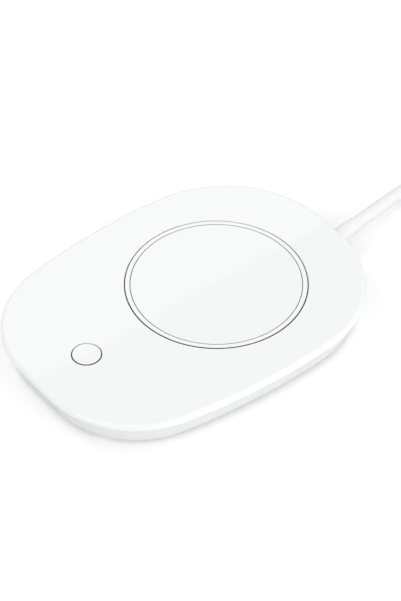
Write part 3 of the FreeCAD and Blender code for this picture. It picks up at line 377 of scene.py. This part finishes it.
FOOT_RUBBER = Moulding(
    name="foot_rubber", colour=(0.62, 0.62, 0.62), shade=(0.56, 0.56, 0.57),
    roughness=0.75, roughness_spread=0.1, grain_scale=1800.0, grain_depth=0.01 * MM,
)
STRAP = Moulding(
    name="tie_strap", colour=(0.72, 0.72, 0.72), shade=(0.66, 0.66, 0.67),
    roughness=0.55, roughness_spread=0.08, grain_scale=2600.0, grain_depth=0.02 * MM,
)
PLATED = Moulding(
    name="plated_blade", colour=(0.78, 0.76, 0.72), shade=(0.7, 0.68, 0.64),
    roughness=0.24, roughness_spread=0.08, grain_scale=1500.0, grain_depth=0.003 * MM, metallic=1.0,
)
STEEL = Moulding(
    name="zinc_plated_steel", colour=(0.62, 0.62, 0.64), shade=(0.52, 0.52, 0.55),
    roughness=0.32, roughness_spread=0.1, grain_scale=1300.0, grain_depth=0.004 * MM, metallic=1.0,
)
MICA = Moulding(
    name="mica_sheet", colour=(0.5, 0.42, 0.3), shade=(0.38, 0.31, 0.21),
    roughness=0.5, roughness_spread=0.1, grain_scale=700.0, grain_depth=0.02 * MM,
)
FIBRE = Moulding(
    name="pressed_fibre", colour=(0.78, 0.75, 0.68), shade=(0.66, 0.63, 0.56),
    roughness=0.95, roughness_spread=0.04, grain_scale=2400.0, grain_depth=0.06 * MM,
)
FOAM = Moulding(
    name="foam_adhesive", colour=(0.16, 0.16, 0.17), shade=(0.1, 0.1, 0.11),
    roughness=0.9, roughness_spread=0.06, grain_scale=2200.0, grain_depth=0.04 * MM,
)
GREY = Moulding(
    name="grey_moulding", colour=(0.5, 0.5, 0.51), shade=(0.44, 0.44, 0.46),
    roughness=0.5, roughness_spread=0.08, grain_scale=1400.0, grain_depth=0.006 * MM,
)
BLACK = Moulding(
    name="black_moulding", colour=(0.025, 0.025, 0.028), shade=(0.04, 0.04, 0.044),
    roughness=0.45, roughness_spread=0.1, grain_scale=1500.0, grain_depth=0.01 * MM,
)
GREEN = Moulding(
    name="terminal_moulding", colour=(0.04, 0.3, 0.13), shade=(0.03, 0.22, 0.1),
    roughness=0.42, roughness_spread=0.08, grain_scale=1500.0, grain_depth=0.006 * MM,
)
AMBER = Moulding(
    name="boxed_capacitor", colour=(0.62, 0.45, 0.06), shade=(0.5, 0.35, 0.04),
    roughness=0.4, roughness_spread=0.08, grain_scale=1200.0, grain_depth=0.01 * MM,
)
LENS = Moulding(
    name="lamp_lens", colour=(0.85, 0.84, 0.76), shade=(0.8, 0.78, 0.68),
    roughness=0.12, roughness_spread=0.04,
)
WIRE = Moulding(
    name="wire_insulation", colour=(0.75, 0.73, 0.68), shade=(0.66, 0.64, 0.6),
    roughness=0.45, roughness_spread=0.08, grain_scale=1800.0, grain_depth=0.006 * MM,
)


@dataclass
class Arc:
    """One arc of the outline: its centre, radius and the angles it runs between, in degrees."""

    x: float
    y: float
    radius: float
    start: float
    end: float
    steps: int


@dataclass
class Outline:
    """The body's outline: two side arcs, two nearly flat ends and four corner arcs, all tangent."""

    length: float = 181.0 * MM
    width: float = 135.5 * MM
    widest_x: float = 11.5 * MM
    side_radius: float = 337.0 * MM
    rear_radius: float = 377.0 * MM
    front_radius: float = 356.0 * MM
    rear_corner: float = 60.0 * MM
    front_corner: float = 51.0 * MM
    corner_steps: int = 36
    side_steps: int = 28
    end_steps: int = 12

    def corner(self, end_x: float, end_radius: float, radius: float) -> Vector:
        """Centre of a corner arc that is tangent to an end arc and the upper side arc.

        Args:
            end_x: X of the end arc's centre.
            end_radius: The end arc's radius.
            radius: The corner's radius.

        Returns:
            The centre, above the long axis.
        """
        end = Vector((end_x, 0.0))
        side = Vector((self.widest_x, self.width / 2 - self.side_radius))
        to_end = end_radius - radius
        to_side = self.side_radius - radius
        span = (side - end).length
        unit = (side - end) / span
        along = (to_end**2 - to_side**2 + span**2) / (2 * span)
        across = math.sqrt(to_end**2 - along**2)
        foot = end + unit * along
        normal = Vector((-unit.y, unit.x)) * across
        return foot + normal if (foot + normal).y > (foot - normal).y else foot - normal

    def arcs(self) -> list[Arc]:
        """The eight arcs in order, anticlockwise from the rear end's lower corner.

        Returns:
            The arcs, each starting where the last one ends.
        """
        rear_x = self.length / 2 - self.rear_radius
        front_x = self.front_radius - self.length / 2
        side_y = self.width / 2 - self.side_radius
        rear = self.corner(rear_x, self.rear_radius, self.rear_corner)
        front = self.corner(front_x, self.front_radius, self.front_corner)
        rear_angle = math.degrees(math.atan2(rear.y, rear.x - rear_x))
        side_rear = math.degrees(math.atan2(rear.y - side_y, rear.x - self.widest_x))
        side_front = math.degrees(math.atan2(front.y - side_y, front.x - self.widest_x))
        front_angle = math.degrees(math.atan2(front.y, front.x - front_x))
        corners, sides, ends = self.corner_steps, self.side_steps, self.end_steps
        upper = [
            Arc(rear_x, 0.0, self.rear_radius, -rear_angle, rear_angle, ends),
            Arc(rear.x, rear.y, self.rear_corner, rear_angle, side_rear, corners),
            Arc(self.widest_x, side_y, self.side_radius, side_rear, side_front, sides),
            Arc(front.x, front.y, self.front_corner, side_front, front_angle, corners),
            Arc(front_x, 0.0, self.front_radius, front_angle, 360.0 - front_angle, ends),
        ]
        lower = [Arc(a.x, -a.y, a.radius, 360.0 - a.end, 360.0 - a.start, a.steps) for a in upper[3:0:-1]]
        return upper + lower

    def loop(self, bm: bmesh.types.BMesh, inset: float, height: float) -> list[bmesh.types.BMEdge]:
        """Adds the outline as a closed loop of edges.

        Args:
            bm: Where it goes.
            inset: How far inside the outline it lies.
            height: Its height.

        Returns:
            The loop's edges.
        """
        arcs = self.arcs()
        first = arcs[0]
        angle = math.radians(first.start)
        reach = first.radius - inset
        point = (first.x + reach * math.cos(angle), first.y + reach * math.sin(angle), height)
        start = bmesh.ops.create_vert(bm, co=point)["vert"][0]
        last = start
        for arc in arcs:
            turn = math.radians(arc.end - arc.start)
            spun = bmesh.ops.spin(
                bm, geom=[last], cent=(arc.x, arc.y, height), axis=(0, 0, 1), angle=turn, steps=arc.steps
            )
            last = next(v for v in spun["geom_last"] if isinstance(v, bmesh.types.BMVert))
        return weld_loop(bm, start, last)


def weld_loop(
    bm: bmesh.types.BMesh, start: bmesh.types.BMVert, last: bmesh.types.BMVert
) -> list[bmesh.types.BMEdge]:
    """Joins the two ends of a spun chain of edges.

    Args:
        bm: Where the chain lies.
        start: Its first vertex.
        last: Its last vertex, at the same place.

    Returns:
        The closed loop's edges.
    """
    bmesh.ops.weld_verts(bm, targetmap={last: start})
    edges = []
    here, edge = start, start.link_edges[0]
    while edge not in edges:
        edges.append(edge)
        here = edge.other_vert(here)
        edge = next(e for e in here.link_edges if e is not edge)
    return edges


def circle_loop(
    bm: bmesh.types.BMesh, x: float, height: float, radius: float, segments: int
) -> list[bmesh.types.BMEdge]:
    """Adds a level circle whose centre is over the long axis.

    Args:
        bm: Where it goes.
        x: X of its centre.
        height: Its height.
        radius: Its radius.
        segments: How many edges it has.

    Returns:
        Its edges.
    """
    place = Matrix.Translation((x, 0.0, height))
    made = bmesh.ops.create_circle(bm, cap_ends=False, segments=segments, radius=radius, matrix=place)
    return list({e for v in made["verts"] for e in v.link_edges})


def bridge(bm: bmesh.types.BMesh, loops: list[list[bmesh.types.BMEdge]]) -> None:
    """Joins each loop to the next with faces.

    Args:
        bm: Where they lie.
        loops: The loops in order.
    """
    for low, high in zip(loops, loops[1:]):
        bmesh.ops.bridge_loops(bm, edges=low + high)


def rounded(
    side: float, height: float, radius: float, steps: int = 4, inward: int = -1
) -> list[tuple[float, float]]:
    """Rounded upper corner of a section, from the side to the top.

    Args:
        side: Where the side is.
        height: The top's height.
        radius: The round's radius.
        steps: How many chords it has.
        inward: -1 where the material lies below the side's value, 1 where it lies above it.

    Returns:
        Points of the section.
    """
    angles = [math.pi / 2 * i / steps for i in range(steps + 1)]
    return [
        (side + inward * radius * (1 - math.cos(a)), height - radius * (1 - math.sin(a))) for a in angles
    ]


def make_piece(
    name: str, bm: bmesh.types.BMesh, finish: bpy.types.Material, body: str = HOUSING,
    replaced: tuple[str, ...] = (), sharp: float = 35.0,
) -> bpy.types.Object:
    """Turns a bmesh into a finished piece that rides on a body.

    Args:
        name: The piece's name.
        bm: Its shape, which is freed.
        finish: Its material.
        body: The body it rides on.
        replaced: CAD nodes that it stands for.
        sharp: Angle in degrees above which an edge stays sharp.

    Returns:
        The object.
    """
    bmesh.ops.recalc_face_normals(bm, faces=bm.faces)
    for face in bm.faces:
        face.smooth = True
    for edge in bm.edges:
        if len(edge.link_faces) == 2 and edge.calc_face_angle(0.0) > math.radians(sharp):
            edge.smooth = False
    mesh = bpy.data.meshes.new(name)
    bm.to_mesh(mesh)
    bm.free()
    mesh.materials.append(finish)
    piece = bpy.data.objects.new(name, mesh)
    bpy.context.scene.collection.objects.link(piece)
    even = piece.modifiers.new("even_normals", "WEIGHTED_NORMAL")
    even.keep_sharp = True
    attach(piece, body)
    if replaced:
        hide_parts(*replaced)
    LOG.info("piece %s: %d faces", name, len(mesh.polygons))
    return piece


def dress(frame: dict, finish: bpy.types.Material, *names: str) -> None:
    """Gives carried-over nodes their finish.

    Args:
        finish: The material.
        names: The nodes.
    """
    for name in names:
        node = frame["nodes"][name]
        node.data.materials.clear()
        node.data.materials.append(finish)
        LOG.info("node %s: %s", name, finish.name)


@dataclass
class Body:
    """Flat oval case: a panel with a rounded rim on two sloping shells that stand on four feet."""

    outline: Outline = field(default_factory=Outline)
    top: float = 16.0 * MM
    bottom: float = 13.4 * MM
    rim: float = 2.2 * MM
    rim_steps: int = 12
    edge: float = 0.3 * MM
    hole_segments: int = 192
    holes: tuple[tuple[float, float], ...] = ((18.8 * MM, 45.25 * MM), (-60.1 * MM, 7.45 * MM))

    def panel(self, finish: bpy.types.Material) -> bpy.types.Object:
        """Builds the panel with its rounded rim and two round openings.

        Args:
            finish: Its material.

        Returns:
            The panel.
        """
        bm = bmesh.new()
        section = [(0.0, self.bottom)] + rounded(0.0, self.top, self.rim, self.rim_steps, inward=1)
        loops = [self.outline.loop(bm, inset, height) for inset, height in section]
        bridge(bm, loops)
        bores = []
        for x, radius in self.holes:
            walls = [(radius, self.bottom), (radius, self.top - self.edge), (radius + self.edge, self.top)]
            bores.append([circle_loop(bm, x, height, reach, self.hole_segments) for reach, height in walls])
        for end, up in ((0, -1), (-1, 1)):
            edges = loops[end] + [edge for bore in bores for edge in bore[end]]
            bmesh.ops.triangle_fill(bm, use_beauty=True, edges=edges, normal=(0, 0, up))
        for bore in bores:
            bridge(bm, bore)
        return make_piece("gloss_panel", bm, finish, replaced=("top_panel",))

    def build(self, frame: dict) -> None:
        """Builds the panel and dresses the shells, the feet and the adhesive band.
        """
        self.panel(WHITE_PANEL.material())
        dress(frame, WHITE_SHELL.material(), "upper_housing", "base_cover")
        dress(frame, FOOT_RUBBER.material(), "rubber_feet")
        dress(frame, FOAM.material(), "panel_adhesive")


@dataclass
class Turned:
    """Round piece turned about an upright axis from its half section."""

    name: str
    x: float
    section: list[tuple[float, float]]
    segments: int = 192
    sharp: float = 60.0

    def build(
        self, finish: bpy.types.Material, slot: Slot, replaced: str, body: str = HOUSING
    ) -> bpy.types.Object:
        """Spins the closed section a full turn.

        Args:
            finish: Its material.
            slot: Not used.
            replaced: The node that it stands for.
            body: The body it rides on.

        Returns:
            The piece.
        """
        bm = bmesh.new()
        points = [bmesh.ops.create_vert(bm, co=(self.x + r, 0.0, z))["vert"][0] for r, z in self.section]
        pairs = list(zip(points, points[1:]))
        if self.section[0][0] > 0:
            pairs.append((points[-1], points[0]))
        edges = [bmesh.ops.contextual_create(bm, geom=list(pair))["edges"][0] for pair in pairs]
        bmesh.ops.spin(
            bm, geom=points + edges, cent=(self.x, 0, 0), axis=(0, 0, 1), angle=2 * math.pi,
            steps=self.segments, use_merge=True,
        )
        bmesh.ops.remove_doubles(bm, verts=bm.verts, dist=MERGE)
        return make_piece(self.name, bm, finish, body, (replaced,), self.sharp)


@dataclass
class HotPlate:
    """Round heating plate flush in its trim ring, with what is clamped beneath."""

    x: float = 18.8 * MM
    top: float = 16.0 * MM
    edge: float = 0.3 * MM
    plate_radius: float = 42.2 * MM
    plate_bottom: float = 14.4 * MM
    spigot_radius: float = 39.9 * MM
    spigot_wall: float = 1.5 * MM
    low: float = 12.6 * MM
    ring_outer: float = 44.75 * MM
    ring_bore: float = 42.45 * MM
    ring_inner: float = 40.2 * MM
    flange_radius: float = 47.5 * MM
    flange_top: float = 13.4 * MM
    screws: tuple[str, ...] = ("retainer_screws", "housing_screws", "board_screws", "clamp_screws")
    sensing: tuple[str, ...] = ("temperature_sensor", "sensor_bridge", "thermal_fuse_clip", "thermal_fuse")

    def plate(self, finish: bpy.types.Material) -> bpy.types.Object:
        """Builds the glazed plate.

        Args:
            finish: Its material.

        Returns:
            The plate.
        """
        inner = self.spigot_radius - self.spigot_wall
        section = [(0.0, self.plate_bottom), (inner, self.plate_bottom), (inner, self.low)]
        section += [(self.spigot_radius, self.low), (self.spigot_radius, self.plate_bottom)]
        section += [(self.plate_radius, self.plate_bottom)]
        section += rounded(self.plate_radius, self.top, self.edge)
        section += [(self.plate_radius - 2 * self.edge, self.top), (0.0, self.top)]
        return Turned("glazed_plate", self.x, section).build(finish, Slot.PLATE, "heating_plate")

    def ring(self, finish: bpy.types.Material) -> bpy.types.Object:
        """Builds the trim ring.

        Args:
            finish: Its material.

        Returns:
            The ring.
        """
        section = [(self.ring_inner, self.low), (self.flange_radius, self.low)]
        section += [(self.flange_radius, self.flange_top), (self.ring_outer, self.flange_top)]
        section += rounded(self.ring_outer, self.top, self.edge)
        section += rounded(self.ring_bore, self.top, self.edge, inward=1)[::-1]
        section += [(self.ring_bore, self.plate_bottom), (self.ring_inner, self.plate_bottom)]
        return Turned("trim_band", self.x, section).build(finish, Slot.RING, "trim_ring")

    def build(self, frame: dict) -> None:
        """Builds plate and ring and dresses what is clamped beneath and all the screws.
        """
        self.plate(WHITE_PLATE.material())
        self.ring(WHITE_RING.material())
        steel = STEEL.material()
        dress(frame, steel, "retainer_plate", *self.screws, *self.sensing)
        dress(frame, MICA.material(), "heater_element")
        dress(frame, FIBRE.material(), "insulation_pad")


@dataclass
class PushButton:
    """Flush round push button with a flange and a stem."""

    x: float = -60.1 * MM
    top: float = 16.0 * MM
    edge: float = 0.3 * MM
    radius: float = 6.95 * MM
    wall: float = 1.2 * MM
    flange_radius: float = 8.6 * MM
    flange_top: float = 13.3 * MM
    flange_bottom: float = 12.2 * MM
    stem_radius: float = 2.2 * MM
    stem_bottom: float = 11.85 * MM
    segments: int = 96

    def build(self, frame: dict) -> None:
        """Builds the cap and dresses the guide and the switch.
        """
        under = self.top - self.wall
        section = [(0.0, self.stem_bottom), (self.stem_radius, self.stem_bottom), (self.stem_radius, under)]
        section += [(self.radius - self.wall, under), (self.radius - self.wall, self.flange_bottom)]
        section += [(self.flange_radius, self.flange_bottom), (self.flange_radius, self.flange_top)]
        section += [(self.radius, self.flange_top)]
        section += rounded(self.radius, self.top, self.edge)
        section += [(self.radius - 2 * self.edge, self.top), (0.0, self.top)]
        cap = Turned("button_cap", self.x, section, self.segments)
        cap.build(WHITE_BUTTON.material(), Slot.BUTTON, "power_button", "power_button")
        dress(frame, GREY.material(), "button_guide")
        dress(frame, PLUNGER.material(), "switch_plunger")


@dataclass(frozen=True)
class Electronics:
    """Control board with its parts and wires, all carried over and dressed."""

    black: tuple[str, ...] = ("control_chip", "triac", "rectifier", "tactile_switch", "smoothing_capacitor")
    green: tuple[str, ...] = ("mains_terminal", "heater_terminal")
    pale: tuple[str, ...] = ("sensor_header", "cord_clamp", "board_fuse")
    wires: tuple[str, ...] = ("mains_conductors", "heater_leads", "sensor_leads")

    def build(self, frame: dict) -> None:
        """Dresses the board and everything on it.
        """
        dress(frame, Laminate().material(), "circuit_board")
        dress(frame, BLACK.material(), *self.black)
        dress(frame, GREEN.material(), *self.green)
        dress(frame, PALE.material(), *self.pale)
        dress(frame, WIRE.material(), *self.wires)
        dress(frame, AMBER.material(), "film_capacitor")
        dress(frame, LENS.material(), "indicator_led")


@dataclass
class Camera:
    """Long lens that looks down on the warmer from its front left."""

    azimuth: float = -38.25
    elevation: float = 44.32
    distance: float = 1.2159
    target: Vector = field(default_factory=lambda: Vector((0.0050, -0.0050, 0.016)))
    focal_pixels: float = 2500.0
    frame_height: float = 601.0
    sensor: float = 36.0
    clip: tuple[float, float] = (0.05, 20.0)

    def back(self) -> Vector:
        """Direction from the target to the camera.

        Returns:
            A unit vector.
        """
        a, e = math.radians(self.azimuth), math.radians(self.elevation)
        return Vector((math.sin(a) * math.cos(e), -math.cos(a) * math.cos(e), math.sin(e)))

    def place(self) -> None:
        """Adds the camera and makes it the scene's."""
        data = bpy.data.cameras.new("camera")
        data.sensor_width = self.sensor
        data.lens = self.focal_pixels * self.sensor / self.frame_height
        data.clip_start, data.clip_end = self.clip
        camera = bpy.data.objects.new("camera", data)
        camera.location = self.target + self.back() * self.distance
        camera.rotation_mode = "QUATERNION"
        camera.rotation_quaternion = (-self.back()).to_track_quat("-Z", "Y")
        bpy.context.scene.collection.objects.link(camera)
        bpy.context.scene.camera = camera


@dataclass
class Cord:
    """Mains lead: its free stretch, the put-away coil and the tail that the plug ends."""

    radius: float = 3.5 * MM
    exit_turn: float = 8.0
    exit_point: Vector = field(default_factory=lambda: Vector((87.1, -5.9, 7.6)) * MM)
    bend_point: Vector = field(default_factory=lambda: Vector((174.3, 5.5, 4.05)) * MM)
    first_run: float = 40.0 * MM
    last_run: float = 30.0 * MM
    pitch: float = 7.6 * MM
    turns: int = 4
    mean_radius: float = 41.0 * MM
    lead_in: float = 7.0 * MM
    tail: float = 44.0 * MM
    points_per_turn: int = 16
    length: float = 1.2
    order: int = 3
    steps: int = 6
    round_steps: int = 8

    def way(self) -> Vector:
        """Direction in which the lead leaves the body and the coil.

        Returns:
            A level unit vector.
        """
        angle = math.radians(self.exit_turn)
        return Vector((math.cos(angle), math.sin(angle), 0.0))

    def coil_radius(self) -> float:
        """Radius of the outermost turn."""
        return self.mean_radius + self.pitch * self.turns / 4

    def coil_start(self) -> Vector:
        """Where the turns begin."""
        return self.bend_point + self.way() * (self.last_run + self.lead_in)

    def coil_centre(self) -> Vector:
        """Middle of the coil at the height of its lowest turn."""
        way = self.way()
        return self.coil_start() + Vector((way.y, -way.x, 0.0)) * self.coil_radius()

    def coil_point(self, turn: float, spread: float = 1.0) -> Vector:
        """Point of the coil: in and out at a steady rate, up a layer at the middle.

        Args:
            turn: How many turns from the coil's start.
            spread: Factor on the radius.

        Returns:
            The point.
        """
        centre = self.coil_centre()
        middle = self.turns / 2
        radius = spread * (self.coil_radius() - self.pitch * (middle - abs(turn - middle)))
        angle = math.radians(90.0 + self.exit_turn - 360.0 * turn)
        climb = min(1.0, max(0.0, 2 * (turn - middle) + 0.5))
        rise = self.pitch * (1 - math.cos(math.pi * climb)) / 2
        return centre + Vector((radius * math.cos(angle), radius * math.sin(angle), rise))

    def tail_end(self) -> Vector:
        """Where the lead enters the plug."""
        return self.coil_point(self.turns) + self.way() * self.tail

    def route(self) -> list[Vector]:
        """Control points of the lead's line.

        Returns:
            The free stretch's points, the coil's and the tail's.
        """
        points = [self.exit_point, self.exit_point + self.way() * self.first_run, self.bend_point]
        points.append(self.bend_point + self.way() * self.last_run)
        spread = 1 / math.cos(math.pi / self.points_per_turn)
        count = self.turns * self.points_per_turn
        points += [self.coil_point((i + 0.5) / self.points_per_turn, spread) for i in range(count)]
        points.append(self.coil_point(self.turns) + self.way() * self.lead_in)
        points.append(self.tail_end())
        return points

    def build(self, finish: bpy.types.Material) -> bpy.types.Object:
        """Adds the lead as one smooth curve.

        Args:
            finish: Its material.

        Returns:
            The curve.
        """
        data = bpy.data.curves.new("mains_lead", "CURVE")
        data.dimensions = "3D"
        data.bevel_depth = self.radius
        data.bevel_resolution = self.round_steps
        data.use_fill_caps = True
        data.resolution_u = self.steps
        spline = data.splines.new("NURBS")
        route = self.route()
        spline.points.add(len(route) - 1)
        for point, place in zip(spline.points, route):
            point.co = (*place, 1.0)
        spline.order_u = self.order
        spline.use_endpoint_u = True
        spline.use_smooth = True
        data.materials.append(finish)
        lead = bpy.data.objects.new("mains_lead", data)
        bpy.context.scene.collection.objects.link(lead)
        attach(lead, HOUSING)
        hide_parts("mains_cord", "cord_coil")
        return lead


@dataclass
class MainsLead:
    """The lead with its strain relief, tie and plug."""

    cord: Cord = field(default_factory=Cord)

    def build(self, frame: dict) -> None:
        """Builds the lead and dresses its entry, strain relief, tie and plug.
        """
        jacket = WHITE_JACKET.material()
        line = self.cord.build(jacket)
        dress(frame, jacket, "cord_entry", "cord_strain_relief", "plug_body")
        dress(frame, STRAP.material(), "coil_tie")
        dress(frame, PLATED.material(), "plug_blades")
        2 * self.cord.radius


@dataclass(frozen=True)
class SoftLamp:
    """Rectangular lamp, its power in watts, whether it hangs level and whether gloss shows it."""

    name: str
    place: tuple[float, float, float]
    size: tuple[float, float]
    watts: float
    level: bool = False
    mirrored: bool = True


@dataclass
class Studio:
    """Pale floor, white surroundings and soft lamps."""

    floor_size: float = 6.0
    floor_colour: tuple[float, float, float] = (0.84, 0.84, 0.84)
    floor_lift: float = 0.22
    world_colour: tuple[float, float, float] = (0.8, 0.8, 0.8)
    world_strength: float = 0.6
    card_height: float = 1.29
    card_near_edge: float = 1.032
    card_size: tuple[float, float] = (2.4, 1.2)
    card_x: float = 0.6
    card_watts: float = 6.2
    soft_lamps: tuple[SoftLamp, ...] = (
        SoftLamp("overhead_softbox", (0.65, -0.1, 1.25), (0.8, 0.5), 3.2, level=True),
        SoftLamp("key_softbox", (-0.3, 1.0, 1.1), (0.5, 0.5), 3.5, mirrored=False),
        SoftLamp("side_softbox", (0.5, -1.3, 0.5), (2.0, 1.0), 11.8),
        SoftLamp("left_softbox", (-1.3, -0.3, 0.9), (1.4, 1.0), 8.0),
    )

    def floor(self) -> None:
        """Adds the floor, which shows white to the camera and keeps the shadow."""
        bm = bmesh.new()
        bmesh.ops.create_grid(bm, x_segments=1, y_segments=1, size=self.floor_size / 2)
        mesh = bpy.data.meshes.new("floor")
        bm.to_mesh(mesh)
        bm.free()
        nodes = Nodes.of_material("floor_white")
        ray = nodes.add("ShaderNodeLightPath", output="Is Camera Ray")
        diffuse = nodes.add("ShaderNodeBsdfDiffuse", {}, {"Color": (*self.floor_colour, 1.0)})
        lift = nodes.add("ShaderNodeEmission", {}, {"Color": WHITE, "Strength": ray * self.floor_lift})
        mesh.materials.append(nodes.finish(nodes.add("ShaderNodeAddShader", {}, {0: diffuse, 1: lift})))
        floor = bpy.data.objects.new("floor", mesh)
        bpy.context.scene.collection.objects.link(floor)

    def world(self) -> None:
        """Sets even light all round that shows as white to the camera and in reflections."""
        world = bpy.data.worlds.new("studio")
        bpy.context.scene.world = world
        nodes = Nodes(world)
        seen = nodes.add("ShaderNodeLightPath", output="Is Camera Ray")
        for kind in ("Is Glossy Ray", "Is Transmission Ray"):
            ray = nodes.add("ShaderNodeLightPath", output=kind)
            seen = nodes.add("ShaderNodeMath", {"operation": "MAXIMUM"}, {0: seen, 1: ray})
        strength = self.world_strength + (1.0 - self.world_strength) * seen
        inputs = {"Color": (*self.world_colour, 1.0), "Strength": strength}
        background = nodes.add("ShaderNodeBackground", {}, inputs)
        nodes.add("ShaderNodeOutputWorld", {}, {"Surface": background})

    def lamp(
        self, name: str, place: Vector, aim: Vector, size: tuple[float, float], watts: float
    ) -> bpy.types.Object:
        """Adds a rectangular lamp.

        Args:
            name: Its name.
            place: Where its middle is.
            aim: What it faces.
            size: Its width and height.
            watts: Its power.

        Returns:
            The lamp.
        """
        data = bpy.data.lights.new(name, "AREA")
        data.shape = "RECTANGLE"
        data.size, data.size_y = size
        data.energy = watts
        lamp = bpy.data.objects.new(name, data)
        lamp.location = place
        lamp.rotation_mode = "QUATERNION"
        lamp.rotation_quaternion = (aim - place).to_track_quat("-Z", "Y")
        bpy.context.scene.collection.objects.link(lamp)
        return lamp

    def lamps(self) -> None:
        """Adds a level card, whose near edge shows in the panel as a line, and the soft lamps."""
        middle = self.card_near_edge + self.card_size[1] / 2
        card = Vector((self.card_x, middle, self.card_height))
        self.lamp("back_card", card, Vector((card.x, card.y, 0.0)), self.card_size, self.card_watts)
        for soft in self.soft_lamps:
            aim = Vector((soft.place[0], soft.place[1], 0.0)) if soft.level else Vector()
            lamp = self.lamp(soft.name, Vector(soft.place), aim, soft.size, soft.watts)
            lamp.visible_glossy = soft.mirrored

    def build(self) -> None:
        """Adds everything around the object."""
        self.floor()
        self.world()
        self.lamps()
        bpy.context.scene.view_settings.view_transform = "Standard"


def main() -> None:
    """Builds the camera, the studio and the object's sub-assemblies in order."""
    logging.basicConfig(level=logging.INFO, format="%(message)s")
    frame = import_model()
    Camera().place()
    Studio().build()
    for part in (MainsLead(), Body(), HotPlate(), PushButton(), Electronics()):
        LOG.info("building %s", type(part).__name__)
        part.build(frame)


if __name__ == "__main__":
    main()
